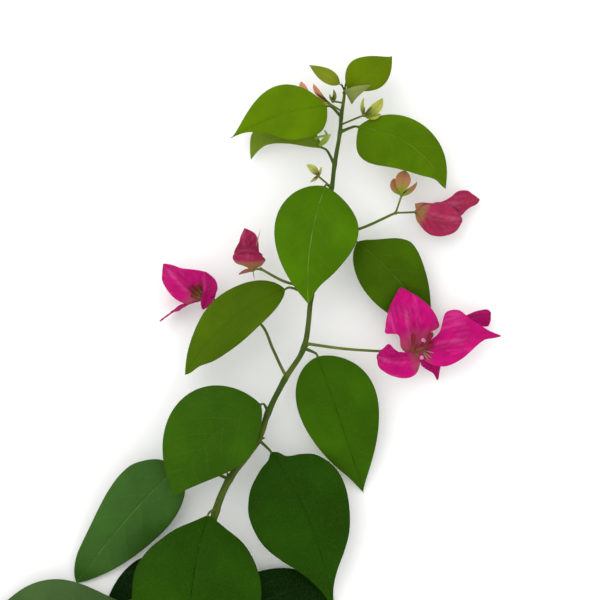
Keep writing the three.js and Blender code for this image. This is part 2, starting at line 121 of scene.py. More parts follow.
LEAVES = [
    leaf("leaf_foot_left", 1, (-26, 60, 11), (-69, 53.5, 14), (-113, 40.5, 0.8), (51, 79, 31),
        both=(18.7, 0.46, 1.8), curl=4, sheen=0.14),
    # leaf_foot_right and leaf_foot_under lie in shade under the other leaves: their near-black looks hold
    # that painted shade.
    leaf("leaf_foot_right", 2, (24, 64.5, 6), (58, 55, 5), (93, 38, 0.6), (6, 34, 1), left=(24.4, 0.55, 0.9),
        right=(21.3, 0.44, 0.8), fold=4),
    leaf("leaf_foot_under", 3, (11, 80.5, 4.5), (-17.5, 53.5, 3), (-42.5, 24, 0.6), (2, 26, 1),
        left=(23.5, 0.37, 1.15), right=(22.8, 0.37, 1.15), curl=4, fold=4),
    leaf("leaf_low_front", 4.1, (20, 108.5, 20.5), (11, 60.5, 34), (14, 10.5, 20), (30, 64, 1),
        left=[(0, 2), (0.04, 11), (0.095, 23), (0.17, 30.3), (0.246, 34.5), (0.316, 36.9), (0.423, 38),
            (0.6, 34), (0.8, 18), (0.93, 5.5), (1, 0.2)],
        right=[(0, 0.5), (0.055, 6.7), (0.12, 15.2), (0.185, 21.8), (0.241, 26.9), (0.325, 31.6),
            (0.42, 32.6), (0.6, 29.5), (0.8, 16), (0.93, 5), (1, 0.2)], curl=9, fold=7, rib=-0.7,
        specks=0.5),
    leaf("leaf_low_left", 5, (3, 134.5, 15), (-23.5, 107.5, 13), (-54, 69.5, 0.6), (47, 84, 24),
        left=(20.2, 0.36, 0.8),
        right=[(0, 0.5), (0.04, 9), (0.08, 13), (0.18, 18.2), (0.28, 19.2), (0.4, 18.1), (0.52, 15.8),
            (0.64, 13.2), (0.76, 10.9), (0.84, 9.2), (0.92, 6), (0.97, 3), (1, 0.2)], roll=-8, curl=4,
        rib=0.14, sheen=0.1),
    leaf("leaf_low_right", 6, (54.5, 143, 17), (76.5, 103, 19), (88.6, 56.4, 9), (27, 60, 1),
        left=[(0, 0.5), (0.024, 3.2), (0.069, 5.9), (0.1, 12.6), (0.138, 18.9), (0.183, 22.4), (0.244, 25.2),
            (0.316, 26.2), (0.398, 25.2), (0.515, 21.7), (0.6, 18), (0.679, 12.9), (0.778, 6.3), (0.87, 2.4),
            (1, 0.2)],
        right=[(0, 0.5), (0.029, 4), (0.047, 9.8), (0.109, 20), (0.164, 24.6), (0.251, 28.8), (0.366, 30.2),
            (0.5, 28.4), (0.63, 22), (0.702, 16.5), (0.801, 9.4), (0.9, 4), (1, 0.2)], curl=5, rib=-0.3),
    leaf("leaf_waist_left", 7, (49, 169.5, 24), (19, 149.2, 30), (1.4, 119, 20), (43, 79, 1),
        left=(22.5, 0.39, 1.1), right=(26, 0.41, 1.3), curl=5, rib=0.02, sheen=0.04),
    leaf("leaf_waist_right", 9, (80, 195.5, 20), (93, 158.8, 19), (105.6, 119.5, 0.6), (47, 83, 1),
        left=(23.8, 0.33, 1.3), right=(20.2, 0.32, 1.15, 0.15), curl=4, rib=-0.5, specks=0.35),
    leaf("leaf_middle_left", 10, (62, 232.5, 26), (31.5, 214.5, 30), (7.1, 185.5, 13), (64, 90, 3),
        left=(13.4, 0.44, 0.85, 0.3), right=(15.3, 0.39, 1.05), roll=20, curl=2, rib=-0.08),
    leaf("leaf_middle_right", 11, (101.8, 258.3, 17), (124.8, 237, 16), (144, 209.5, 0.6), (55, 84, 1),
        left=[(0, 0.5), (0.04, 3.6), (0.1, 7.3), (0.152, 11.1), (0.204, 15), (0.248, 17.5), (0.3, 19.3),
            (0.365, 19.1), (0.444, 17.5), (0.6, 12.9), (0.79, 6.2), (0.9, 2.5), (1, 0.2)],
        right=(18.1, 0.41, 0.8, 0.2), rib=0.08),
    leaf("leaf_middle_front", 12, (84, 288.3, 28), (75.9, 256, 37), (75, 224, 29), (64, 102, 1),
        left=(24.8, 0.36, 1.2, 0.25), right=(20.9, 0.37, 1.2), curl=4, rib=0.22),
    leaf("leaf_high_under", 13, (82.5, 310.5, 15), (60, 315.6, 13), (43.3, 304.8, 6), (98, 121, 31),
        left=[(0, 0.5), (0.1, 2.2), (0.25, 3.5), (0.5, 3), (0.65, 1.5), (0.75, 0.4), (1, 0.2)],
        right=[(0, 0.5), (0.2, 8), (0.5, 11), (0.7, 11.4), (0.8, 9.6), (0.9, 4.6), (1, 0.2)], roll=12,
        curl=1, wave=0.4, rib=0.12,
        lobes=[
            dict(base=(81, 311.4, 16.5), middle=(84.1, 314.3, 18), tip=(87, 317.6, 19)),
            dict(base=(78.4, 315.2, 17), middle=(82.8, 316.5, 18.6), tip=(87.4, 317, 19.4),
                both=(0.6, 0.5, 0.6)),
            dict(base=(85.2, 316.6, 19), middle=(84.7, 318.2, 19.6), tip=(83.6, 319.8, 20),
                both=(0.6, 0.4, 0.8)),
        ]),
    leaf("leaf_high_right", 14, (102.3, 321.3, 22), (131.5, 310.5, 24), (151, 288, 8), (72, 104, 1),
        left=(13.2, 0.44, 1.17), right=(18.3, 0.2, 1, 0.4), rib=0.1),
    leaf("leaf_high_left", 15, (85, 332.2, 26), (59.2, 327, 29), (32.2, 315.6, 16), (83, 114, 1),
        left=[(0, 2), (0.01, 7), (0.05, 12), (0.1, 14.2), (0.18, 15.6), (0.29, 15.8), (0.41, 14.8),
            (0.51, 12.1), (0.575, 9.4), (0.64, 6.2), (0.73, 3.6), (0.83, 1.4), (0.92, 0.5), (1, 0.2)],
        right=(15.9, 0.4, 1.7), rib=-0.25),
    leaf("leaf_top_left", 16, (92, 345, 21), (84, 350, 22), (75.5, 355.5, 18), (104, 116, 24),
        both=(4.5, 0.37, 1.15), roll=25, curl=0.5, wave=0, rib=0.25),
    leaf("leaf_top_right", 16, (96.3, 341.5, 22), (108.3, 350.8, 23), (121, 360.6, 16), (86, 109, 1),
        left=(10.8, 0.36, 1.5), right=(10.2, 0.5, 1.12), curl=1.5, wave=0.3, rib=0.05, specks=0.35),
    leaf("leaf_top_under", 15.7, (94.9, 340.4, 26), (102, 342, 28.5), (109, 343.7, 26), (111, 121, 64),
        left=(1.2, 0.4, 1),
        right=[(0, 8.2), (0.05, 8.2), (0.29, 6), (0.45, 4.6), (0.66, 3), (0.85, 1.3), (1, 0.3)], roll=10,
        fold=-15, curl=0, wave=0, rib=0.2),
]
AGES = [("leaf_old", 7), ("leaf_grown", 12), ("leaf_young", 17)]  # slot, last stem node of that age
UNDERSIDE = {"leaf_old": (80, 106, 56), "leaf_grown": (96, 122, 56), "leaf_young": (128, 144, 76)}
LEAF_ROUGHNESS = {"leaf_old": 0.42, "leaf_grown": 0.45, "leaf_young": 0.5}
RIB_DEPTH = 0.6  # how far the rib's axis runs below the blade's middle
RIB_END = 0.6  # share of the blade at which the rib under it ends
STALK_LEAD = 0.18  # share of a leaf's stalk, next to the blade, that already has the midrib's direction
LEAF_STALK_RADII = (0.9, 0.62, 0.2)  # at the stem, at the blade's foot and at the rib's end
LEAF_STALK_FLARE, LEAF_STALK_FLARE_REACH = 0.35, 1.6  # extra radius at its root, and how far along

# Young shoots at the tip: foot and head.
TIP_SHOOTS = [((94.6, 341, 20), (93.2, 345.2, 22)), ((95, 342, 20), (95.4, 346, 22))]
TIP_SHOOT_RADIUS = 0.5
RESTING_SEAT, RESTING_REACH, RESTING_RADIUS = 0.35, 0.75, 0.2  # of a resting bud, in stem diameters

# Cluster stalks: place up the stem, and the points that each one runs through.
STALKS = dict(
    stalk_right=(9.1, [(95, 199.8, 19), (115, 198.4, 16)]),
    stalk_left=(8.1, [(61, 188, 18), (55.4, 199.8, 15), (49, 213, 12), (27, 226, 9)]),
    stalk_middle_left=(10.2, [(64, 236, 21), (49, 243.5, 23)]),
    stalk_middle_right=(11.15, [(101, 265, 20), (123, 274.5, 16)]),
)
STALK_RADII, STALK_KNOB = (0.85, 0.7), 1.05
FLOWER_STALK_RADII, FLOWER_KNOB = (0.5, 0.6), 1.3
BUD_STALK_RADII, BUD_KNOB = (0.5, 0.55), 0.95
STALK_FLARE, STALK_FLARE_REACH = 0.35, 1.5  # extra radius at a stalk's root, as a share, and how far along
STALK_BEND = 0.06  # how far a flower's or a bud's stalk bows, as a share of its length
KNOB_DROP = 1.1  # a flower cluster's knob sits this far below its heart

# Bracts: like leaves, but the midrib starts at the heart of the cluster, or at a base of its own. Foot is the
# share of the length that is green-brown, and shade is painted shade: how much darker each side is drawn
# where that half of a folded bract lies in shade. Dusty says how far the cluster has faded. Flowers and hairs
# have a foot and a head, and limbs are open flower faces.
BRACT = dict(fold=10, roll=0, curl=0.0, wave=1.0, foot=0.12, shade=(0.0, 0.0))


def bract(middle, tip, **shape):
    """A bract's row: the way of its midrib and its shape."""
    return {**BRACT, "middle": middle, "tip": tip, **shape}


CLUSTERS = [
    dict(
        name="cluster_right", stalk="stalk_right", heart=(136, 196.5, 13), dusty=0.0,
        bracts=[
            bract((131, 215, 15), (125.5, 233.5, 20), fold=6, wave=0.7, foot=0.33,
                left=[(0, 4), (0.1, 7.6), (0.17, 8.8), (0.36, 8.8), (0.42, 14.8), (0.52, 14), (0.634, 12.2),
                    (0.75, 9.6), (0.87, 5.6), (0.954, 2.4), (1, 0.2)],
                right=[(0, 3), (0.11, 6), (0.25, 8.2), (0.3, 14.2), (0.415, 14.8), (0.576, 13.3),
                    (0.763, 8.9), (0.884, 4.8), (1, 0.2)]),
            bract((123, 194.5, 17), (112.5, 196.5, 26), fold=14, wave=0.6, foot=0.2, shade=(0.0, 0.35),
                left=[(0, 2), (0.05, 6), (0.15, 9.8), (0.3, 11.4), (0.5, 10.7), (0.75, 8.2), (0.9, 5.8),
                    (1, 1.5)],
                right=[(0, 2), (0.2, 2.8), (0.4, 3.4), (0.6, 5.8), (0.75, 7.8), (0.9, 7.2), (1, 2.5)]),
            bract((158, 203.5, 17), (181, 206.5, 10), fold=12, wave=1.4, foot=0.14, shade=(0.1, 0.0),
                left=[(0, 2), (0.165, 5), (0.31, 8.6), (0.41, 17.6), (0.46, 18.6), (0.55, 17.6), (0.64, 12),
                    (0.74, 7.8), (0.84, 4.1), (0.92, 2.2), (1, 0.7)],
                right=[(0, 2), (0.12, 8), (0.25, 11), (0.37, 10.8), (0.49, 9), (0.61, 5.9), (0.71, 3),
                    (0.8, 1.1), (0.9, 0.8), (1, 0.2)]),
            # Two folded-back flaps, drawn mostly in painted shade.
            bract((168, 217, 9), (176, 218, 8), base=(160, 214, 12), fold=0, roll=25, wave=0.3, foot=0,
                shade=(0.7, 0.7), left=[(0, 3), (0.5, 3.6), (0.9, 3.6), (1, 2)],
                right=[(0, 3), (0.5, 5.2), (0.8, 6.6), (0.94, 5.8), (1, 3)]),
            bract((144.4, 190, 10), (146.6, 182.4, 6), base=(141, 197, 13), fold=12, wave=0.2, foot=0,
                shade=(0.8, 0.8), left=[(0, 3), (0.4, 4.4), (0.7, 2.2), (1, 0.4)],
                right=[(0, 6), (0.25, 6.4), (0.5, 4.2), (0.7, 1.8), (1, 0.4)]),
        ],
        flowers=[((132, 197.5, 14), (132.4, 208.5, 22)), ((137.5, 199, 14), (142.6, 209, 24)),
            ((133.6, 199, 15), (143.8, 203, 19))],
        hairs=[((138, 198.5, 15), (142.6, 194.6, 18)), ((138.5, 199, 15), (144, 197.4, 18)),
            ((138, 198, 15), (141, 193.4, 18))],
        limbs=[(138, 204.6, 18), (137.2, 195, 17), (139.6, 203.4, 18)],
    ),
    dict(
        name="cluster_left", stalk="stalk_left", heart=(16.5, 228, 12), dusty=0.1,
        bracts=[
            bract((6.5, 236.5, 15), (-5, 246.5, 10), fold=16, wave=0.8, foot=0.26, shade=(0.0, 0.18),
                left=[(0, 1.5), (0.07, 3.5), (0.16, 8), (0.29, 9.9), (0.46, 10.4), (0.62, 9.2), (0.78, 7),
                    (0.895, 3.6), (1, 0.4)],
                right=[(0, 5), (0.08, 9), (0.16, 12.2), (0.23, 13), (0.32, 12), (0.42, 10), (0.52, 7.8),
                    (0.65, 5.1), (0.85, 2.8), (1, 0.4)]),
            bract((20.6, 233.2, 19), (18.2, 241.8, 24), fold=18, roll=10, wave=0.5, foot=0.1,
                shade=(0.2, 0.4), left=[(0, 1.5), (0.25, 2.6), (0.5, 3.6), (0.75, 3.4), (1, 0.6)],
                right=[(0, 1.5), (0.25, 3), (0.5, 4.6), (0.75, 3.6), (1, 0.6)]),
            bract((4.5, 222.4, 7.4), (-7.2, 214.8, 7.4), base=(15.5, 226.4, 10), fold=4, roll=84, wave=0.9,
                shade=(0.5, 0.5), left=[(0, 1.5), (0.2, 5), (0.45, 7.4), (0.75, 4.6), (1, 0.4)],
                right=[(0, 1.5), (0.2, 5), (0.45, 6.4), (0.75, 4), (1, 0.4)]),
            bract((20.9, 229, 15), (16.9, 221.4, 12), base=(22, 236, 15), fold=14, wave=0.2, foot=0,
                shade=(0.5, 0.7), left=[(0, 2), (0.4, 3), (0.8, 1.8), (1, 0.3)],
                right=[(0, 2), (0.4, 4.2), (0.8, 3.2), (1, 0.8)]),
        ],
        flowers=[((17, 228.8, 13), (9.4, 233.8, 17)), ((17, 228, 13), (10.4, 229.6, 15)),
            ((17.5, 230, 13), (13.6, 234.6, 19))],
    ),
    dict(
        name="cluster_middle_left", stalk="stalk_middle_left", heart=(45, 243.5, 23), dusty=0.75,
        bracts=[
            bract((42.5, 255, 20.5), (40.2, 265.8, 21), fold=14, wave=0.5, foot=0.3, shade=(0.0, 0.2),
                left=[(0, 2), (0.31, 7.6), (0.47, 8.8), (0.6, 7), (0.7, 4.9), (0.855, 3), (1, 0.3)],
                right=[(0, 2), (0.2, 4.6), (0.4, 5.2), (0.72, 5.9), (0.85, 4.7), (0.94, 2.4), (1, 0.3)]),
            bract((44.6, 249.3, 27.5), (44, 254.8, 28.5), fold=-12, wave=0.9, foot=0.4, shade=(0.0, 0.12),
                left=[(0, 1.5), (0.12, 5), (0.3, 9.4), (0.42, 10.8), (0.62, 11), (0.8, 10.4), (0.92, 8),
                    (1, 5)],
                right=[(0, 1.5), (0.1, 4.2), (0.3, 6.8), (0.42, 7), (0.6, 5.4), (0.8, 3.6), (0.95, 3),
                    (1, 2)]),
            # A narrow lip at the cup's rim, drawn almost wholly in painted shade for the dark band of shade
            # there.
            bract((41.6, 253.6, 29.6), (50, 251, 28.6), base=(35, 251.6, 26), fold=-6, wave=0.2, foot=0,
                shade=(0.9, 0.9), left=[(0, 0.4), (0.3, 1.4), (0.7, 1.3), (1, 0.3)],
                right=[(0, 0.4), (0.3, 1.5), (0.7, 1.2), (1, 0.3)]),
            bract((41, 242.6, 21), (36.9, 240.6, 20), base=(44.6, 242.6, 22), fold=0, wave=0, foot=1.4,
                left=[(0, 0.7), (0.5, 1.2), (1, 0.3)], right=[(0, 0.7), (0.5, 1), (1, 0.3)]),
        ],
        flowers=[((45, 245, 23), (43, 253.5, 25)), ((45.6, 245, 23), (46, 252.5, 26)),
            ((44.4, 245, 22), (41.4, 251.5, 24))],
        hairs=[((46.5, 256, 25), (49, 265.9, 25)), ((44.6, 243.5, 22), (45.5, 237.4, 21))],
    ),
    dict(
        name="cluster_middle_right", stalk="stalk_middle_right", heart=(134.5, 275, 14), dusty=0.85,
        bracts=[
            bract((147, 270.3, 17), (159.8, 271, 13), fold=-14, roll=10, wave=0.4, foot=0.22,
                shade=(0.0, 0.1),
                left=[(0, 2.4), (0.1, 6), (0.3, 7.7), (0.52, 9), (0.69, 8.8), (0.84, 6.9), (0.95, 4.2),
                    (1, 1)],
                right=[(0, 2), (0.08, 4.4), (0.19, 6.6), (0.3, 8.3), (0.39, 9.4), (0.52, 9.4), (0.67, 8.8),
                    (0.8, 7.4), (0.91, 4.8), (1, 1)]),
            bract((152, 278, 10), (169.8, 282.3, 7), fold=-8, wave=0.6, foot=0.15, shade=(0.1, 0.3),
                left=[(0, 4.8), (0.1, 5), (0.2, 4.2), (0.33, 3.3), (0.47, 3.9), (0.59, 5.3), (0.695, 7.3),
                    (0.79, 7.2), (0.88, 6), (0.91, 4.4), (0.965, 2), (1, 0.3)],
                right=[(0, 2), (0.3, 5.5), (0.5, 6.6), (0.68, 6.2), (0.74, 4.8), (0.82, 3.2), (0.957, 1.9),
                    (1, 0.3)]),
            bract((147, 273, 5), (160, 272, 3), fold=15, roll=10, wave=0.4,
                both=[(0, 2), (0.2, 6), (0.5, 8.6), (0.8, 6), (1, 0.5)]),
        ],
        flowers=[((136, 275, 14), (147, 276, 14)), ((136, 275, 13.5), (146.6, 278.6, 12.6)),
            ((136, 274.6, 13), (146.6, 273.4, 11))],
    ),
]
FLOWER_RADIUS, FLOWER_RIBS = 1.2, 0.09
FLOWER_BOW = (0.3, -0.3, 0.4)
FLOWER_PROFILE = [(0, 0.5), (0.1, 0.85), (0.3, 1.0), (0.55, 0.75), (0.8, 1.15), (0.92, 1.0), (1.0, 0.12)]
SPINDLE_PROFILE = [(0, 0.45), (0.25, 0.95), (0.55, 0.9), (0.85, 0.4), (1.0, 0.08)]
HAIR_RADIUS, LIMB_RADIUS = 0.28, 1.15

# Clusters still in bud: each bract's reach, its greatest half width and how far along that lies, and the
# colours of its foot and its tip. Sink moves the middle of single bracts, by their number.
BUDS = [
    dict(name="bud_middle_right", stalk="stalk_middle_right", heart=(126.3, 284.2, 14), foot=(122, 134, 30),
        tip=(160, 106, 72),
        bracts=[(1.9, 13.6, 2, 4.3, 0.62), (8.6, 7.6, -1, 1.5, 0.4), (-4, 9.5, -2, 3, 0.55)]),
    dict(name="bud_middle_left", node=12, heart=(80.4, 294.6, 17), foot=(124, 126, 32), tip=(174, 180, 92),
        bracts=[(-6.4, 6.1, 1, 2.1, 0.5), (1.6, 5, 1, 0.8, 0.4), (-4.4, -3.2, -1, 1, 0.4)]),
    dict(name="bud_high_right", node=14.45, heart=(105, 327.2, 26), foot=(92, 104, 20), tip=(158, 162, 68),
        bracts=[(0.3, 9.5, 1, 1.1, 0.4), (10.3, 9.4, 1, 2.9, 0.5), (9.5, 0.8, 0, 2, 0.5)]),
    dict(name="bud_high_left", node=15.2, heart=(86.2, 334.6, 18), foot=(150, 152, 58), tip=(208, 132, 112),
        bracts=[(-15.3, 12, -1, 2.2, 0.75), (-8.4, 10.6, -1, 1.6, 0.6), (-6, 3.5, -2, 1.6, 0.4)],
        sink={0: (-1.5, -3.2, -1), 1: (-2.2, -1.4, -1)}),
    dict(name="bud_top_left", node=15.5, heart=(88.5, 336, 14), foot=(88, 108, 30), tip=(132, 148, 62),
        bracts=[(0.3, 6.4, 0, 1.1, 0.4), (-1.6, 4, 0, 0.7, 0.4), (1.6, 3.6, 0, 0.7, 0.4)]),
]
BUD_POINT, BUD_BOW = 0.9, 0.12  # how drawn out a bud's bracts are, and how far they bow out
BUD_FLOWER_RADIUS, BUD_FLOWER_REACH = 0.5, 0.42  # of the folded flowers between its bracts

# Veins of a blade: side veins leave the midrib at even steps and bend towards the tip.
VEIN_PAIRS = 6
VEIN_RISE = 0.95
VEIN_BEND = 0.011  # further rise for each square millimetre out
VEIN_STAGGER = 0.45  # the right side's veins start this share of a step later
VEIN_WIDTH, MIDRIB_WIDTH = 0.9, 0.7

# How far a side vein and the midrib stand out above and below a blade; less than 0 is a groove.
LEAF_RELIEF = (-0.16, -0.3), (0.14, 0.45)
BRACT_RELIEF = (0.1, -0.1), (0.12, 0.3)
BUD_RELIEF = (-0.05, -0.08), (0.05, 0.2)
LEAF_FIELD, BRACT_FIELD, BRACT_CRINKLE = 0.16, 0.3, 0.22  # how far the fields between the veins swell
FULL_RELIEF_LENGTH, FULL_STALK_LENGTH = 60, 40  # a shorter leaf has less relief and a slimmer stalk


# ---------------------------------------------------------------- lines and frames


def unit(vectors):
    """Vectors of length 1."""
    vectors = np.asarray(vectors, float)
    return vectors / np.linalg.norm(vectors, axis=-1, keepdims=True)


class Line:
    """A line of close points, read by the share of its length."""

    def __init__(self, places):
        self.places = np.asarray(places, float)
        steps = np.linalg.norm(np.diff(self.places, axis=0), axis=1)
        self.reached = np.concatenate([[0.0], np.cumsum(steps)])
        self.length = self.reached[-1]

    def at(self, share):
        """Places at shares of the length."""
        reach = np.asarray(share, float) * self.length
        return np.stack([np.interp(reach, self.reached, self.places[:, k]) for k in range(3)], axis=-1)

    def heading(self, share):
        """Unit directions at shares of the length."""
        step = 0.004
        share = np.asarray(share, float)
        before, after = np.clip(share - step, 0, 1), np.clip(share + step, 0, 1)
        return unit(self.at(after) - self.at(before))


def catmull_rom(points, where):
    """Places on the centripetal Catmull-Rom line through points, by point number."""
    points = np.asarray(points, float)
    ends = [2 * points[0] - points[1]], [2 * points[-1] - points[-2]]
    padded = np.concatenate([ends[0], points, ends[1]])
    places = []
    for number in np.atleast_1d(where):
        first = min(int(number), len(points) - 2)
        share = number - first
        p0, p1, p2, p3 = padded[first : first + 4]
        d0, d1, d2 = (max(math.sqrt(math.dist(a, b)), 1e-4) for a, b in ((p0, p1), (p1, p2), (p2, p3)))
        t1 = ((p1 - p0) / d0 - (p2 - p0) / (d0 + d1) + (p2 - p1) / d1) * d1
        t2 = ((p2 - p1) / d1 - (p3 - p1) / (d1 + d2) + (p3 - p2) / d2) * d1
        bend = (2 * p1 - 2 * p2 + t1 + t2) * share**3 + (-3 * p1 + 3 * p2 - 2 * t1 - t2) * share**2
        places.append(bend + t1 * share + p1)
    return np.array(places)


def smooth_line(points, samples=24):
    """A line through points, smooth at each."""
    last = len(points) - 1
    return Line(catmull_rom(points, np.linspace(0, last, last * samples + 1)))


def straight_line(foot, head, samples):
    """A straight line from foot to head."""
    foot, head = (np.array(p, float) for p in (foot, head))
    return Line([foot + (head - foot) * share for share in np.linspace(0, 1, samples)])


def arc_line(base, middle, tip):
    """One arc from base to tip that passes its middle point halfway."""
    a, m, b = (np.array(p, float) for p in (base, middle, tip))
    pull = 2 * m - (a + b) / 2
    t = np.linspace(0, 1, 201)[:, None]
    return Line(a * (1 - t) ** 2 + pull * 2 * t * (1 - t) + b * t**2)


def turned(vector, axis, angle):
    """A vector turned about an axis."""
    axis = unit(axis)
    across = np.cross(axis, vector)
    kept = axis * np.dot(axis, vector) * (1 - math.cos(angle))
    return vector * math.cos(angle) + across * math.sin(angle) + kept


STEM_PLACES = [node[:3] for node in STEM_NODES]
STEM_LINE = smooth_line(STEM_PLACES)


def stem_point(node):
    """Place on the stem's axis by node number."""
    return catmull_rom(STEM_PLACES, node)[0]


# ---------------------------------------------------------------- mesh pieces


def added(name, data):
    """A new object in the scene."""
    made = bpy.data.objects.new(name, data)
    bpy.context.scene.collection.objects.link(made)
    return made


class Piece:
    """The points, faces, flat coordinates and material numbers of one mesh, gathered part by part."""

    def __init__(self):
        self.points, self.faces, self.flat, self.slots = [], [], [], []
        self.count = 0

    def add_faces(self, faces, first, flat, slot):
        """Adds faces that number points from first on; flat has a pair for each corner of each face."""
        self.faces.extend([[int(i) + first for i in face] for face in faces])
        self.flat.extend([corner for face in flat for corner in face])
        self.slots.extend([slot] * len(faces))

    def add(self, points, faces, flat, slot):
        """Adds points and the faces between them."""
        self.points.append(points)
        self.add_faces(faces, self.count, flat, slot)
        self.count += len(points)

    def build(self, name, materials, node, slot):
        """Makes the Blender object, in metres in the frame, standing for a CAD node."""
        mesh = bpy.data.meshes.new(name)
        points = (np.concatenate(self.points) + SHIFT) * MM
        mesh.from_pydata(points.tolist(), [], self.faces)
        layer = mesh.uv_layers.new(name="UVMap")
        layer.data.foreach_set("uv", np.array(self.flat, float).ravel())
        mesh.polygons.foreach_set("material_index", self.slots)
        mesh.polygons.foreach_set("use_smooth", [True] * len(self.faces))
        for material in materials:
            mesh.materials.append(material)
        mesh.validate()
        made = added(name, mesh)
        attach(made, "root")
        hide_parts(node)
        return made


def grid(rows, columns, flip):
    """Four-cornered faces of a grid of points, row by row."""
    first = (np.arange(rows - 1)[:, None] * columns + np.arange(columns - 1)).ravel()
    faces = np.stack([first, first + 1, first + columns + 1, first + columns], axis=1)
    return faces[:, ::-1] if flip else faces


FLAT_UNIT = 100.0  # millimetres to one unit of the flat coordinates
NEARLY_UPRIGHT = 0.9  # above this share of up, a tube's first side can't be taken from up


def sides_along(ahead):
    """One direction square to each heading, carried on without a twist."""
    side = UP if abs(ahead[0][2]) < NEARLY_UPRIGHT else np.array([1.0, 0.0, 0.0])
    aside = np.empty_like(ahead)
    for i, along in enumerate(ahead):
        side = unit(side - along * np.dot(along, side))
        aside[i] = side
    return aside


def unrolled(turn, lengths):
    """Flat coordinates of a tube's faces, from distances round it and along it."""
    flat = []
    for v0, v1 in zip(lengths, lengths[1:]):
        for u0, u1 in zip(turn, turn[1:]):
            flat.append([(u0, v0), (u1, v0), (u1, v1), (u0, v1)])
    return flat


def tube(piece, line, radius, sides, rings, slot, cap_slot=None):
    """A round limb along a line, closed at both ends. Radius gives millimetres for shares and angles."""
    shares = np.linspace(0, 1, rings)
    ahead = line.heading(shares)
    aside = sides_along(ahead)
    over = np.cross(ahead, aside)
    angles = np.linspace(0, 2 * math.pi, sides, endpoint=False)
    size = np.broadcast_to(radius(shares[:, None], angles[None, :]), (rings, sides))
    ring = np.cos(angles)[None, :, None] * aside[:, None] + np.sin(angles)[None, :, None] * over[:, None]
    points = line.at(shares)[:, None] + ring * size[..., None]
    around = np.arange(sides)
    start = np.arange(rings - 1)[:, None] * sides
    first, after = start + around, start + (around + 1) % sides
    faces = np.stack([first, after, after + sides, first + sides], axis=-1).reshape(-1, 4)
    turn = np.arange(sides + 1) / sides * 2 * math.pi * float(size.mean()) / FLAT_UNIT
    flat = unrolled(turn, shares * line.length / FLAT_UNIT)
    piece.add(points.reshape(-1, 3), faces, flat, slot)
    disc = 0.5 + 0.5 * np.stack([np.cos(angles), np.sin(angles)], axis=-1)
    piece.add(points[0], [around[::-1]], [disc[::-1]], slot if cap_slot is None else cap_slot)
    piece.add(points[-1], [around], [disc], slot)


# ---------------------------------------------------------------- blades


def power_outline(share, belly, point, draw_in=0.0):
    """Half width of a leaf at shares of its length, as a share of its greatest."""
    rise = point * belly / (1 - belly)
    peak = belly**rise * (1 - belly) ** point
    narrowing = draw_in * np.exp(-(((share - DRAW_IN_AT) / DRAW_IN_REACH) ** 2))
    return share**rise * (1 - share) ** point / peak * (1 - narrowing)


def profile_width(share, pairs):
    """Width to one side of a blade at shares of its length, smooth through pairs of share and width."""
    line = smooth_line([(FLAT_UNIT * at, wide, 0.0) for at, wide in pairs], samples=16)
    width = np.interp(share, line.places[:, 0] / FLAT_UNIT, line.places[:, 1])
    return np.maximum(width, TIP_HALF_WIDTH)


def side_width(share, edge):
    """Width to one side of a blade, by an outline's few numbers or by a list of pairs."""
    if isinstance(edge, list):
        return profile_width(share, edge)
    widest, *shape = edge
    least = FOOT_HALF_WIDTH + (TIP_HALF_WIDTH - FOOT_HALF_WIDTH) * share
    return np.maximum(least, widest * power_outline(share, *shape))


def greatest_width(edge):
    """The greatest width that an outline gives."""
    return max(width for _, width in edge) if isinstance(edge, list) else edge[0]


class Blade:
    """The middle surface of a leaf or bract as a grid of places, facings and flat millimetres."""

    def __init__(self, spec, step):
        self.spec = spec
        self.rib = arc_line(spec["base"], spec["middle"], spec["tip"])
        self.length = self.rib.length
        self.edges = [spec.get(side, spec.get("both")) for side in ("left", "right")]
        self.half_span = max(greatest_width(edge) for edge in self.edges)
        self.rows = max(LEAST_ROWS, round(self.length / step))
        self.columns = 2 * max(LEAST_COLUMNS, round(self.half_span / step)) + 1
        even = np.linspace(0, 1, self.rows)
        self.share = ((1 - np.cos(math.pi * even)) / 2)[:, None]
        spread = np.linspace(-1, 1, self.columns)[None, :]
        self.side = np.sign(spread) * np.abs(spread) ** CROWDING
        self._shape()
        self._veins()

    def _shape(self):
        spec, share, side = self.spec, self.share, self.side
        ahead = self.rib.heading(share[:, 0])
        chord = unit(np.array(spec["tip"], float) - spec["base"])
        facing = turned(UP, chord, math.radians(spec["roll"]))
        normal = unit(facing - ahead * (ahead @ facing)[:, None])
        right = np.cross(ahead, normal)
        width = np.where(side < 0, *(side_width(share, edge) for edge in self.edges))
        out = side * width
        fold = math.radians(spec["fold"])
        ripple = np.sin(2 * math.pi * (2 * share + side / 4))
        edge_lift = (out / self.half_span) ** 2 * (spec["wave"] * ripple - spec["curl"])
        lift = np.abs(out) * math.sin(fold) + edge_lift
        middle = self.rib.at(share[:, 0])[:, None]
        spread = right[:, None] * (out * math.cos(fold))[..., None]
        self.places = middle + spread + normal[:, None] * lift[..., None]
        tilt = np.sign(side)[..., None] * math.sin(fold)
        self.facing = unit(normal[:, None] * math.cos(fold) - right[:, None] * tilt)
        self.out = out
        self.along = np.broadcast_to(share * self.length, out.shape)
        self.margin = np.abs(out) / np.maximum(width, 1e-6)

    def _veins(self):
        """How near each point is to a side vein and to the midrib, and how far into a field between them."""
        spacing = self.length / VEIN_PAIRS
        out = np.abs(self.out)
        later = VEIN_STAGGER * spacing * (self.out > 0)
        reach = self.along - VEIN_RISE * out - VEIN_BEND * out**2 - later
        phase = (reach / spacing + 0.5) % 1 - 0.5
        self.side_vein = np.exp(-((phase * spacing / VEIN_WIDTH) ** 2)) * (1 - 0.8 * self.margin)
        self.midrib = np.exp(-((self.out / MIDRIB_WIDTH) ** 2)) * (1 - 0.7 * self.share)
        self.field = np.cos(2 * math.pi * phase) * np.clip(self.margin * 3, 0, 1) * (1 - self.margin**3)


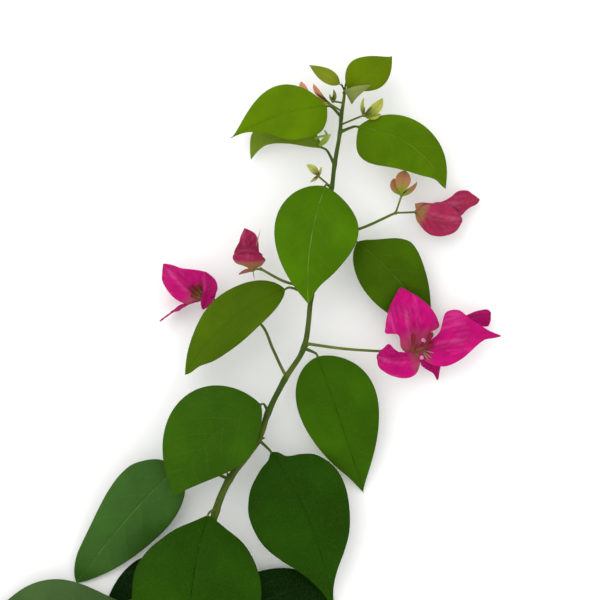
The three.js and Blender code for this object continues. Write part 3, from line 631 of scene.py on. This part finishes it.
def rim(rows, columns):
    """Point numbers round the edge of a grid."""
    bottom = np.arange(columns)
    right = np.arange(1, rows) * columns + columns - 1
    top = (rows - 1) * columns + np.arange(columns - 2, -1, -1)
    left = np.arange(rows - 2, 0, -1) * columns
    return np.concatenate([bottom, right, top, left])


def relief(blade, depths, swell=0.0, scale=1.0):
    """How far a blade's upper and lower face stand out, at the veins by their depths and else by swell."""
    over, under = depths
    faces = (swell, over), (-swell, under)
    return [rise + vein * scale * blade.side_vein + rib * scale * blade.midrib for rise, (vein, rib) in faces]


def add_sheet(piece, blade, thickness, heights, slots):
    """A blade's upper and lower face and the rim between; heights are how far each face stands out."""
    over, under = heights
    half = thickness / 2 * (1 - RIM_THINNING * blade.margin**4)
    top = blade.places + blade.facing * (half + over)[..., None]
    low = blade.places - blade.facing * (half + under)[..., None]
    top[..., 2] = np.maximum(top[..., 2], thickness)
    low[..., 2] = np.maximum(low[..., 2], LEAST_HEIGHT)
    flat = np.stack([blade.out / FLAT_UNIT + 0.5, blade.along / FLAT_UNIT], axis=-1).reshape(-1, 2)
    shape = blade.rows, blade.columns
    for points, flip, slot in ((top, False, slots[0]), (low, True, slots[1])):
        faces = grid(*shape, flip)
        piece.add(points.reshape(-1, 3), faces, flat[faces].tolist(), slot)
    edge = rim(*shape)
    after = np.roll(edge, -1)
    total = blade.rows * blade.columns
    around = np.stack([edge + total, after + total, after, edge], axis=1)
    corners = np.concatenate([flat, flat])[around].tolist()
    piece.add_faces(around, piece.count - 2 * total, corners, slots[0])


# ---------------------------------------------------------------- materials


def colour(rgb):
    """A colour given from 0 to 255, as Blender's own."""
    values = []
    for value in rgb:
        share = value / 255
        values.append(share / 12.92 if share <= 0.04045 else ((share + 0.055) / 1.055) ** 2.4)
    return (*values, 1.0)


def mixed(a, b, share):
    """A colour between two others."""
    return tuple(x + (y - x) * share for x, y in zip(a, b))


class Look:
    """A material whose nodes are added one call at a time."""

    def __init__(self, name, roughness, **sockets):
        self.material = bpy.data.materials.new(name)
        self.material.use_nodes = True
        self.tree = self.material.node_tree
        self.shader = self.tree.nodes["Principled BSDF"]
        self.shader.inputs["Roughness"].default_value = roughness
        for socket, value in sockets.items():
            self.shader.inputs[socket.replace("_", " ")].default_value = value

    def node(self, kind, **settings):
        """Adds a node with the given settings."""
        made = self.tree.nodes.new(kind)
        for key, value in settings.items():
            setattr(made, key, value)
        return made

    def join(self, source, target):
        """Links an output to an input, or sets the input to a plain value."""
        if isinstance(source, bpy.types.NodeSocket):
            self.tree.links.new(source, target)
        else:
            target.default_value = source

    def paint(self, body):
        """Gives the surface its colour."""
        self.join(body, self.shader.inputs["Base Color"])

    def math(self, operation, *values):
        """A Math node on one to three values."""
        made = self.node("ShaderNodeMath", operation=operation)
        for value, target in zip(values, made.inputs):
            self.join(value, target)
        return made.outputs[0]

    def times(self, a, b):
        """The product of two values."""
        return self.math("MULTIPLY", a, b)

    def plus(self, a, b):
        """The sum of two values."""
        return self.math("ADD", a, b)

    def minus(self, a, b):
        """The difference of two values."""
        return self.math("SUBTRACT", a, b)

    def band(self, value, low, high, start=1.0, end=0.0):
        """Maps value from low..high smoothly to start..end."""
        made = self.node("ShaderNodeMapRange", interpolation_type="SMOOTHSTEP")
        for target, number in zip(made.inputs, (value, low, high, start, end)):
            self.join(number, target)
        return made.outputs[0]

    def rise(self, value, low, high, top=1.0):
        """Maps value from low..high smoothly to 0..top."""
        return self.band(value, low, high, 0.0, top)

    def mix(self, share, a, b):
        """A mix of two colours."""
        made = self.node("ShaderNodeMix", data_type="RGBA")
        self.join(share, made.inputs[0])
        self.join(a, made.inputs[6])
        self.join(b, made.inputs[7])
        return made.outputs[2]

    def lay(self, body, over, mask, strength):
        """A colour laid over the body where a mask shows, by strength at most."""
        return self.mix(self.times(mask, strength), body, over)

    def noise(self, where, scale, detail=3.0, stretch=(1, 1, 1)):
        """Soft noise on coordinates, stretched along each axis."""
        turn = self.node("ShaderNodeMapping")
        turn.inputs["Scale"].default_value = stretch
        self.join(where, turn.inputs["Vector"])
        made = self.node("ShaderNodeTexNoise")
        made.inputs["Scale"].default_value = scale
        made.inputs["Detail"].default_value = detail
        self.join(turn.outputs[0], made.inputs["Vector"])
        return made.outputs["Fac"]

    def cells(self, where, scale, feature="DISTANCE_TO_EDGE"):
        """Distance to the nearest edge of scattered cells, or with F1 to the nearest middle."""
        made = self.node("ShaderNodeTexVoronoi", feature=feature)
        made.inputs["Scale"].default_value = scale
        self.join(where, made.inputs["Vector"])
        return made.outputs["Distance"]

    def net(self, where, scale, width):
        """A net of fine veins, with width as a share of a cell."""
        return self.band(self.cells(where, scale), 0.0, width)

    def bump(self, height, depth, strength):
        """Gives the surface a fine relief, with depth in millimetres."""
        made = self.node("ShaderNodeBump")
        made.inputs["Distance"].default_value = depth * MM
        made.inputs["Strength"].default_value = strength
        self.join(height, made.inputs["Height"])
        self.join(made.outputs[0], self.shader.inputs["Normal"])

    def flat(self):
        """The flat coordinates of a piece, and its two parts."""
        where = self.node("ShaderNodeUVMap", uv_map="UVMap").outputs[0]
        parts = self.node("ShaderNodeSeparateXYZ")
        self.join(where, parts.inputs[0])
        return where, parts.outputs[0], parts.outputs[1]

    def space(self):
        """The object's own coordinates."""
        return self.node("ShaderNodeTexCoord").outputs["Object"]


def vein_lines(look, u, v, blade, width):
    """Masks of the side veins and of the midrib on a blade's flat coordinates."""
    spacing = blade.length / VEIN_PAIRS
    across = look.times(look.minus(u, 0.5), FLAT_UNIT)
    out = look.math("ABSOLUTE", across)
    later = look.times(look.math("GREATER_THAN", across, 0.0), VEIN_STAGGER * spacing)
    bend = look.times(look.times(out, out), VEIN_BEND)
    reach = look.minus(look.times(v, FLAT_UNIT), look.times(out, VEIN_RISE))
    reach = look.minus(look.minus(reach, bend), later)
    gap = look.math("PINGPONG", reach, spacing / 2)
    fade = look.band(out, blade.half_span * 0.1, blade.half_span * 0.95)
    side = look.times(look.band(gap, 0.0, width), fade)
    midrib = look.band(out, 0.1, 1.1 * width)
    return side, midrib


BLACK = (0.0, 0.0, 0.0, 1.0)
CLOUDY = (0.3, 0.7)  # where soft noise starts and ends its change from one colour to the other
VEIN_PALE, UNDERSIDE_VEIN, SPECK = (172, 190, 100), (190, 200, 140), (176, 190, 120)
SPECK_SIZE = 0.035
CLOUD_LIGHT, CLOUD_DARK = 1.16, 0.16  # a leaf's lighter parts, and how much darker the others are


def leaf_look(name, spec, blade, roughness):
    """The upper face of a leaf: satin green, a midrib, faint side veins, a fine net and painted shade at its
    foot.
    """
    look = Look(name, roughness, Specular_IOR_Level=spec["sheen"])
    where, u, v = look.flat()
    side, midrib = vein_lines(look, u, v, blade, width=0.36)
    base, vein, rib = colour(spec["look"]), colour(VEIN_PALE), spec["rib"]
    pale = mixed(base, vein, 0.25)
    light = tuple(CLOUD_LIGHT * value for value in base[:3]) + (1.0,)
    cloud = look.noise(where, scale=3.2)
    body = look.mix(look.rise(cloud, *CLOUDY), mixed(base, BLACK, CLOUD_DARK), light)
    net = look.net(where, scale=46.0, width=0.08)
    body = look.lay(body, pale, net, strength=0.07)
    # Side veins: paler when rib is above 0, else darker with painted shade in their grooves.
    body = look.lay(body, pale if rib > 0 else mixed(base, BLACK, 0.25), side, strength=0.16)
    # Painted shade: the blade darkens in soft patches towards its foot, for the shadow that falls there.
    painted_shade_near_foot = look.band(v, 0.0, 0.3 * blade.length / FLAT_UNIT, 0.7, 0.0)
    body = look.lay(body, mixed(base, BLACK, 0.45), painted_shade_near_foot, cloud)
    # Midrib: a paler line when rib is above 0, else painted shade in its groove.
    line = mixed(base, vein, rib) if rib > 0 else mixed(base, BLACK, -rib)
    shows = look.band(look.noise(where, scale=9.0, detail=2.0), 0.38, 0.6, 0.2, 0.95)
    body = look.lay(body, line, midrib, shows)
    if spec["specks"]:
        dots = look.band(look.cells(where, 11.0, "F1"), 0.5 * SPECK_SIZE, SPECK_SIZE)
        body = look.lay(body, colour(SPECK), dots, spec["specks"])
    look.paint(body)
    grain = look.noise(where, scale=160.0, detail=2.0)
    lines = look.math("MAXIMUM", side, midrib)
    height = look.minus(look.times(grain, 0.3), look.times(lines, 0.4))
    look.bump(look.minus(height, look.times(net, 0.2)), depth=0.1, strength=0.6)
    gloss = look.band(cloud, *CLOUDY, roughness - 0.05, roughness + 0.07)
    look.join(gloss, look.shader.inputs["Roughness"])
    return look.material


def underside_look(name, tint, blade):
    """The lower face of a leaf: paler, matte, with raised veins."""
    look = Look(name, 0.68, Specular_IOR_Level=0.2)
    where, u, v = look.flat()
    side, midrib = vein_lines(look, u, v, blade, width=0.8)
    base = colour(tint)
    pale = mixed(base, colour(UNDERSIDE_VEIN), 0.35)
    cloud = look.noise(where, scale=7.0, detail=4.0)
    body = look.mix(look.rise(cloud, *CLOUDY), mixed(base, BLACK, 0.15), base)
    net = look.net(where, scale=42.0, width=0.1)
    body = look.lay(body, pale, net, strength=0.25)
    lines = look.math("MAXIMUM", side, midrib)
    body = look.lay(body, pale, lines, strength=0.6)
    look.paint(body)
    look.bump(look.plus(look.times(net, 0.4), lines), depth=0.15, strength=0.8)
    return look.material


BRACT_BRIGHT, BRACT_DUSTY = (190, 10, 112), (152, 46, 66)
BRACT_DEEP, BRACT_LIGHT = (96, 0, 48), (226, 124, 184)
BRACT_FOOT, BRACT_FOOT_BRIGHT, BRACT_RIB = (140, 112, 62), (136, 78, 66), (90, 90, 30)
FOOT_SOFTNESS = (-0.12, 0.06)  # where the foot's colour starts and ends its fading, about spec["foot"]


def bract_look(name, spec, blade, dusty):
    """A papery bract: magenta with darker patches, painted shade on a folded side, raised veins and a
    greenish foot.
    """
    look = Look(name, 0.6, Specular_IOR_Level=0.06)
    where, u, v = look.flat()
    side, midrib = vein_lines(look, u, v, blade, width=0.5)
    base = mixed(colour(BRACT_BRIGHT), colour(BRACT_DUSTY), dusty)
    deep = mixed(base, colour(BRACT_DEEP), 0.55)
    light = mixed(base, colour(BRACT_LIGHT), 0.35)
    cloud = look.noise(where, scale=9.0, detail=4.0)
    body = look.mix(look.rise(cloud, *CLOUDY), mixed(base, deep, 0.6), base)
    streak = look.noise(where, scale=26.0, stretch=(1.0, 0.25, 1.0))
    body = look.mix(look.rise(streak, 0.5, 0.75, top=0.5), body, light)
    net = look.net(where, scale=60.0, width=0.11)
    body = look.lay(body, deep, net, strength=0.16)
    body = look.lay(body, deep, side, strength=0.45)
    # Painted shade: the side of a folded bract that lies in shade is darkened towards deep.
    left, right = spec["shade"]
    if left or right:
        body = look.mix(look.band(u, 0.495, 0.505, left, right), body, deep)
    rib_tint = mixed(deep, colour(BRACT_RIB), 0.3 + 0.4 * dusty)
    share = look.times(v, FLAT_UNIT / blade.length)
    body = look.lay(body, rib_tint, midrib, look.band(share, 0.2, 0.9, 0.8, 0.2))
    if spec["foot"]:
        ragged = look.plus(share, look.times(look.minus(cloud, 0.5), 0.16))
        before, after = (spec["foot"] + step for step in FOOT_SOFTNESS)
        green = look.band(ragged, before, after, 0.5 + 0.3 * dusty, 0.0)
        body = look.mix(green, body, mixed(colour(BRACT_FOOT_BRIGHT), colour(BRACT_FOOT), dusty))
    look.paint(body)
    crease = look.noise(where, scale=48.0, detail=4.0)
    height = look.plus(look.times(crease, 0.8), look.times(side, 0.7))
    look.bump(look.plus(height, look.times(net, 0.5)), depth=0.2, strength=0.8)
    return look.material


CORK, CUT_RIND, CUT_PITH = (190, 180, 130), (96, 108, 44), (228, 222, 190)
CUT_WOOD_DARK, CUT_WOOD_PALE = (196, 186, 128), (214, 206, 152)


def bark_look(name, low, high, roughness=0.65):
    """Young bark: fine lengthwise stripes that go from one green-brown to another, with pale corky dots."""
    look = Look(name, roughness, Specular_IOR_Level=0.15)
    where, _, _ = look.flat()
    space = look.space()
    stripes = look.noise(where, scale=30.0, detail=4.0, stretch=(6.0, 0.5, 1.0))
    cloud = look.noise(space, scale=60.0)
    body = look.mix(look.rise(cloud, 0.35, 0.65), colour(low), colour(high))
    body = look.mix(look.rise(stripes, 0.5, 0.72, top=0.55), body, mixed(colour(low), BLACK, 0.4))
    dots = look.rise(look.cells(space, 420.0), 0.5, 0.75, top=0.5)
    body = look.mix(dots, body, mixed(colour(high), colour(CORK), 0.6))
    look.paint(body)
    grain = look.noise(space, scale=900.0, detail=2.0)
    look.bump(look.plus(stripes, grain), depth=0.15, strength=0.8)
    return look.material


def cut_look():
    """The cut face: green rind, pale wood with fine rings, and a soft pith."""
    look = Look("cut_wood", 0.75, Specular_IOR_Level=0.2)
    _, u, v = look.flat()
    dx, dy = (look.minus(part, 0.5) for part in (u, v))
    squares = look.plus(look.times(dx, dx), look.times(dy, dy))
    away = look.times(look.math("SQRT", squares), 2.0)
    rings = look.math("SINE", look.times(away, 34.0))
    body = look.mix(look.rise(rings, -1.0, 1.0), colour(CUT_WOOD_DARK), colour(CUT_WOOD_PALE))
    body = look.mix(look.band(away, 0.2, 0.3), body, colour(CUT_PITH))
    body = look.mix(look.rise(away, 0.8, 0.88), body, colour(CUT_RIND))
    look.paint(body)
    look.bump(rings, depth=0.05, strength=0.5)
    return look.material


def flower_look(name, low, high):
    """A fuzzy young part, such as a flower tube, that goes from one colour at its foot to another."""
    look = Look(name, 0.75, Specular_IOR_Level=0.15)
    where, _, v = look.flat()
    fuzz = look.noise(where, scale=120.0, stretch=(3.0, 1.0, 1.0))
    body = look.mix(look.rise(v, 0.01, 0.09), colour(low), colour(high))
    body = look.mix(look.rise(fuzz, 0.45, 0.7, top=0.5), body, mixed(colour(high), BLACK, 0.5))
    look.paint(body)
    look.bump(fuzz, depth=0.2, strength=0.8)
    return look.material


def bud_look(name, row, blade):
    """A young bract: green at its foot, another colour towards its tip, with fine darker veins."""
    look = Look(name, 0.65, Specular_IOR_Level=0.15)
    where, u, v = look.flat()
    side, midrib = vein_lines(look, u, v, blade, width=0.3)
    foot = colour(row["foot"])
    cloud = look.noise(where, scale=22.0)
    share = look.plus(look.times(v, FLAT_UNIT / blade.length), look.times(cloud, 0.3))
    body = look.mix(look.rise(share, 0.3, 0.85), foot, colour(row["tip"]))
    lines = look.math("MAXIMUM", side, midrib)
    body = look.lay(body, mixed(foot, BLACK, 0.3), lines, strength=0.45)
    look.paint(body)
    grain = look.noise(where, scale=150.0, detail=2.0)
    look.bump(look.plus(lines, grain), depth=0.12, strength=0.7)
    return look.material


BARK = bark_look("stem_bark", (46, 68, 8), (76, 92, 22))
STALK_BARK = bark_look("stalk_bark", (70, 88, 22), (100, 112, 42))
LEAF_STALK_BARK = bark_look("leaf_stalk_bark", (48, 72, 10), (78, 96, 26), 0.6)
CUT_WOOD = cut_look()
TUBE_RED = flower_look("tube_red", (120, 70, 44), (122, 26, 44))
TUBE_DARK = flower_look("tube_dark", (104, 84, 36), (104, 24, 34))
TUBE_OLIVE = flower_look("tube_olive", (124, 112, 52), (138, 78, 66))
TUBES = dict(cluster_right=TUBE_RED, cluster_left=TUBE_DARK)
BUD_DARK = flower_look("bud_dark", (78, 76, 30), (62, 40, 22))
YOUNG_GREEN = flower_look("young_green", (120, 150, 50), (150, 170, 74))
LIMB_PINK = flower_look("limb_pink", (206, 120, 168), (232, 170, 200))
HAIR = flower_look("hair", (126, 132, 84), (188, 158, 150))

# ---------------------------------------------------------------- stem and stalks


def stem_radius_at(share):
    """Radius of the stem at shares of its length: a steady taper, a little thicker at each node."""
    places = np.array(STEM_PLACES, float)
    steps = np.linalg.norm(np.diff(places, axis=0), axis=1)
    nodes = np.concatenate([[0], np.cumsum(steps)]) / steps.sum()
    plain = np.interp(share, nodes, [node[3] / 2 for node in STEM_NODES])
    away = np.min(np.abs(share[..., None] - nodes[1:-2]), axis=-1) * STEM_LINE.length
    return plain * (1 + NODE_SWELL * np.exp(-((away / NODE_REACH) ** 2)))


def stem_piece():
    """The stem with its ridges, a resting bud in each leaf's axil and two shoots at the tip."""
    piece = Piece()

    def radius(share, angle):
        broad, fine = STEM_RIDGES
        ridge = broad * np.cos(5 * angle + 3 * np.sin(9 * share)) + fine * np.cos(11 * angle + 20 * share)
        broad, fine = STEM_LUMPS
        lump = broad * np.sin(90 * share + 2 * angle) + fine * np.sin(210 * share - angle)
        dome = np.sqrt(np.clip((1 - share) / 0.002, 0.01, 1))
        return stem_radius_at(share) * (1 + ridge + lump) * dome

    rings = round(STEM_LINE.length / STEM_RING_STEP)
    tube(piece, STEM_LINE, radius, STEM_SIDES, rings, 0, cap_slot=1)
    for row in LEAVES:
        add_resting_bud(piece, row)
    for foot, head in TIP_SHOOTS:
        add_spindle(piece, foot, head, TIP_SHOOT_RADIUS, 2)
    return piece.build("stem_looks", [BARK, CUT_WOOD, BUD_DARK], "main_stem", "stem")


def add_spindle(piece, foot, head, radius, slot):
    """A small body that swells from its foot and draws out to a point."""
    at, size = zip(*SPINDLE_PROFILE)

    def swelling(share, _):
        return radius * np.interp(share, at, size)

    tube(piece, straight_line(foot, head, samples=13), swelling, *SPINDLE_MESH, slot)


def add_resting_bud(piece, row):
    """A pointed bud that sits in the angle between a leaf's stalk and the stem."""
    start = stem_point(row["node"])
    onward = unit(stem_point(min(row["node"] + 0.3, len(STEM_NODES) - 1)) - start)
    outward = unit(np.array(row["base"], float) - start)
    thick = np.interp(row["node"], range(len(STEM_NODES)), [node[3] for node in STEM_NODES])
    foot = start + unit(onward + outward) * RESTING_SEAT * thick
    head = foot + unit(onward * 1.2 + outward) * RESTING_REACH * thick

    def pointed(share, _):
        return RESTING_RADIUS * thick * np.sqrt(np.clip(1 - share**2, 0.004, 1))

    tube(piece, straight_line(foot, head, samples=9), pointed, *RESTING_MESH, 0)


def add_limb(piece, points, radii):
    """A thin limb through points that tapers from its root to its end."""
    root, end = radii
    line = smooth_line(points)

    def taper(share, _):
        flare = STALK_FLARE * root * np.exp(-share * line.length / STALK_FLARE_REACH)
        return end + (root - end) * (1 - share) + flare

    tube(piece, line, taper, LIMB_SIDES, max(8, round(line.length / LIMB_RING_STEP)), 0)


def add_knob(piece, centre, radius, slot=0, squash=1.0):
    """A small swelling about a point."""
    centre = np.asarray(centre, float)
    line = Line([centre + UP * radius * squash * x for x in np.linspace(-1, 1, 13)])

    def domed(share, _):
        return radius * np.sqrt(np.clip(1 - (2 * share - 1) ** 2, 0.003, 1))

    tube(piece, line, domed, *KNOB_MESH, slot)


def stalk_points(name):
    """The points of a cluster stalk, from the stem's axis to its knob."""
    node, through = STALKS[name]
    return [stem_point(node), *through]


def stalk_piece(name):
    """A cluster stalk with a swollen joint at its end."""
    piece = Piece()
    points = stalk_points(name)
    add_limb(piece, points, STALK_RADII)
    add_knob(piece, points[-1], STALK_KNOB)
    return piece.build(name + "_looks", [STALK_BARK], name, "stalk")


# ---------------------------------------------------------------- leaves


def leaf_relief(blade):
    """How far a leaf's two faces stand out: grooves above, ribs below, soft fields between."""
    scale = min(1.0, blade.length / FULL_RELIEF_LENGTH)
    return relief(blade, LEAF_RELIEF, LEAF_FIELD * scale * blade.field, scale)


def add_leaf_stalk(piece, spec, blade):
    """A leaf's stalk, which runs on under the blade as its rib."""
    start = stem_point(spec["node"])
    base = blade.rib.at(0.0)
    gap = np.linalg.norm(base - start)
    normal = blade.facing[0, blade.columns // 2]
    under = [blade.rib.at(share) - normal * RIB_DEPTH for share in np.linspace(0.0, RIB_END, 7)]
    line = smooth_line([start, base - blade.rib.heading(0.0) * STALK_LEAD * gap, *under])
    slim = min(1.0, blade.length / FULL_STALK_LENGTH)
    neck = gap / line.length
    root, throat, end = LEAF_STALK_RADII

    def radius(share, _):
        stalk = root + (throat - root) * share / neck
        rib = throat + (end - throat) * (share - neck) / (1 - neck)
        flare = LEAF_STALK_FLARE * np.exp(-share * line.length / LEAF_STALK_FLARE_REACH)
        return slim * (np.where(share < neck, stalk, rib) + flare)

    tube(piece, line, radius, LIMB_SIDES, max(20, round(line.length / LIMB_RING_STEP)), 2)


def leaf_piece(spec):
    """One leaf: a veined blade on its stalk, with any small young leaves at its foot."""
    slot = next(name for name, last in AGES if spec["node"] <= last)
    piece = Piece()
    blade = Blade(spec, LEAF_STEP)
    add_sheet(piece, blade, LEAF_SHEET, leaf_relief(blade), slots=(0, 1))
    for young in spec.get("lobes", []):
        lobe = Blade({**LEAF, **LOBE, **young}, LOBE_STEP)
        add_sheet(piece, lobe, LEAF_SHEET, leaf_relief(lobe), slots=(3, 1))
    add_leaf_stalk(piece, spec, blade)
    looks = [
        leaf_look(spec["name"] + "_top", spec, blade, LEAF_ROUGHNESS[slot]),
        underside_look(spec["name"] + "_under", UNDERSIDE[slot], blade),
        LEAF_STALK_BARK,
        YOUNG_GREEN,
    ]
    return piece.build(spec["name"] + "_looks", looks, spec["name"], slot)


# ---------------------------------------------------------------- clusters and buds


def bract_relief(blade):
    """How far a papery bract's two faces stand out: raised veins, and crinkled fields between."""
    out, along = blade.out, blade.along
    crinkle = BRACT_CRINKLE * np.sin(0.9 * out + 0.5 * along) * np.sin(0.35 * along - 0.6 * out)
    swell = BRACT_FIELD * blade.field + crinkle * np.clip(blade.margin * 2, 0, 1)
    return relief(blade, BRACT_RELIEF, swell)


def add_flower(piece, foot, head):
    """One closed flower: a tube pinched at its waist, with five ribs, shut at the top like a bud."""
    foot, head = (np.array(p, float) for p in (foot, head))
    at, size = zip(*FLOWER_PROFILE)

    def ribbed(share, angle):
        ribs = 1 + FLOWER_RIBS * np.cos(5 * angle + 2 * share)
        return FLOWER_RADIUS * np.interp(share, at, size) * ribs

    tube(piece, arc_line(foot, (foot + head) / 2 + FLOWER_BOW, head), ribbed, *FLOWER_MESH, 0)


def cluster_pieces(row):
    """A cluster in flower: one mesh for its bracts and their stalk, and one for its flowers."""
    name, heart = row["name"], np.array(row["heart"], float)
    knob = np.array(stalk_points(row["stalk"])[-1], float)
    piece, looks = Piece(), [STALK_BARK]
    lowest = (knob + heart) / 2 - UP * STALK_BEND * np.linalg.norm(heart - knob)
    add_limb(piece, [knob, lowest, heart], FLOWER_STALK_RADII)
    add_knob(piece, heart - UP * KNOB_DROP, FLOWER_KNOB)
    for number, shape in enumerate(row["bracts"]):
        spec = {"base": row["heart"], **shape}
        blade = Blade(spec, BRACT_STEP)
        add_sheet(piece, blade, BRACT_SHEET, bract_relief(blade), slots=[len(looks)] * 2)
        looks.append(bract_look(f"{name}_bract_{number}", spec, blade, row["dusty"]))
    slot = "bract_bright" if row["dusty"] < 0.5 else "bract_dusty"
    piece.build(name + "_bracts", looks, name, slot)
    flowers = Piece()
    for foot, head in row["flowers"]:
        add_flower(flowers, foot, head)
    for foot, head in row.get("hairs", []):
        add_spindle(flowers, foot, head, HAIR_RADIUS, 1)
    for centre in row.get("limbs", []):
        add_knob(flowers, centre, LIMB_RADIUS, 2, squash=0.5)
    flowers.build(name + "_flowers", [TUBES.get(name, TUBE_OLIVE), HAIR, LIMB_PINK], name, slot)


def bud_piece(row):
    """A cluster in bud: small bracts that bow out from their common direction, round dark folded flowers."""
    heart = np.array(row["heart"], float)
    start = np.array(stalk_points(row["stalk"])[-1], float) if "stalk" in row else stem_point(row["node"])
    piece, looks = Piece(), [STALK_BARK]
    highest = (start + heart) / 2 + UP * STALK_BEND * np.linalg.norm(heart - start)
    add_limb(piece, [start, highest, heart], BUD_STALK_RADII)
    add_knob(piece, heart, BUD_KNOB)
    reaches = np.array([values[:3] for values in row["bracts"]], float)
    common = unit(unit(reaches).sum(axis=0))
    for number, reach in enumerate(reaches):
        outward = unit(reach - common * (reach @ common))
        middle = heart + reach / 2 + outward * BUD_BOW * np.linalg.norm(reach)
        middle = middle + row.get("sink", {}).get(number, (0, 0, 0))
        both = (*row["bracts"][number][3:], BUD_POINT)
        blade = Blade(bract(middle, heart + reach, base=heart, both=both, wave=0.0), BUD_STEP)
        add_sheet(piece, blade, BRACT_SHEET, relief(blade, BUD_RELIEF), slots=[len(looks)] * 2)
        looks.append(bud_look(f"{row['name']}_bract_{number}", row, blade))
    for reach in (*reaches, common * np.linalg.norm(reaches[0])):
        head = heart + BUD_FLOWER_REACH * (reach + common * 2) + UP * 0.5
        add_spindle(piece, heart, head, BUD_FLOWER_RADIUS, len(looks))
    looks.append(BUD_DARK)
    return piece.build(row["name"] + "_looks", looks, row["name"], "bud")


# ---------------------------------------------------------------- floor, light and camera

VIEW_CENTRE = (70.4, 226.6)  # the place under the camera
VIEW_PLANE = 15.0  # height at which the view is as wide as VIEW_WIDTH
VIEW_WIDTH, VIEW_HEIGHT = 330.0, 1200.0
SENSOR, FAR_CLIP = 36.0, 50
KEY_DIRECTION, KEY_STRENGTH, KEY_SOFTNESS = (0.45, -0.5, -1.0), 0.6, 45
KEY_TINT = (1.0, 0.98, 0.95)
SKY_STRENGTH = 1.2
FLOOR_HALF_WIDTH = 12.0
FLOOR_DARK, FLOOR_PALE = (0.92, 0.92, 0.92, 1), (0.94, 0.94, 0.94, 1)


def add_camera():
    """A camera that looks straight down, with +Y up the picture."""
    lens = bpy.data.cameras.new("camera")
    lens.sensor_width = SENSOR
    lens.lens = SENSOR * VIEW_HEIGHT / VIEW_WIDTH
    lens.clip_end = FAR_CLIP
    camera = added("camera", lens)
    camera.location = (np.array([*VIEW_CENTRE, VIEW_HEIGHT + VIEW_PLANE]) + SHIFT) * MM
    bpy.context.scene.camera = camera


def add_sun():
    """A distant, very soft light that shines along KEY_DIRECTION."""
    light = bpy.data.lights.new("key", "SUN")
    light.energy = KEY_STRENGTH
    light.angle = math.radians(KEY_SOFTNESS)
    light.color = KEY_TINT
    lamp = added("key", light)
    lamp.rotation_mode = "QUATERNION"
    lamp.rotation_quaternion = Vector(KEY_DIRECTION).to_track_quat("-Z", "Y")


def add_floor():
    """A wide pale floor."""
    half = FLOOR_HALF_WIDTH
    mesh = bpy.data.meshes.new("floor")
    corners = [(-half, -half, 0), (half, -half, 0), (half, half, 0), (-half, half, 0)]
    mesh.from_pydata(corners, [], [(0, 1, 2, 3)])
    look = Look("floor", 0.9, Specular_IOR_Level=0.1)
    look.paint(look.mix(look.noise(look.space(), scale=3.0, detail=2.0), FLOOR_DARK, FLOOR_PALE))
    mesh.materials.append(look.material)
    floor = added("floor", mesh)


def add_world():
    """Even pale light from all round."""
    world = bpy.data.worlds.new("studio")
    world.use_nodes = True
    sky = world.node_tree.nodes["Background"]
    sky.inputs["Color"].default_value = (1.0, 1.0, 1.0, 1)
    sky.inputs["Strength"].default_value = SKY_STRENGTH
    bpy.context.scene.world = world


stem_piece()
for leaf_row in LEAVES:
    leaf_piece(leaf_row)
for stalk_name in STALKS:
    stalk_piece(stalk_name)
for cluster in CLUSTERS:
    cluster_pieces(cluster)
for bud in BUDS:
    bud_piece(bud)

add_floor()
add_world()
add_sun()
add_camera()
bpy.context.scene.view_settings.view_transform = "Standard"
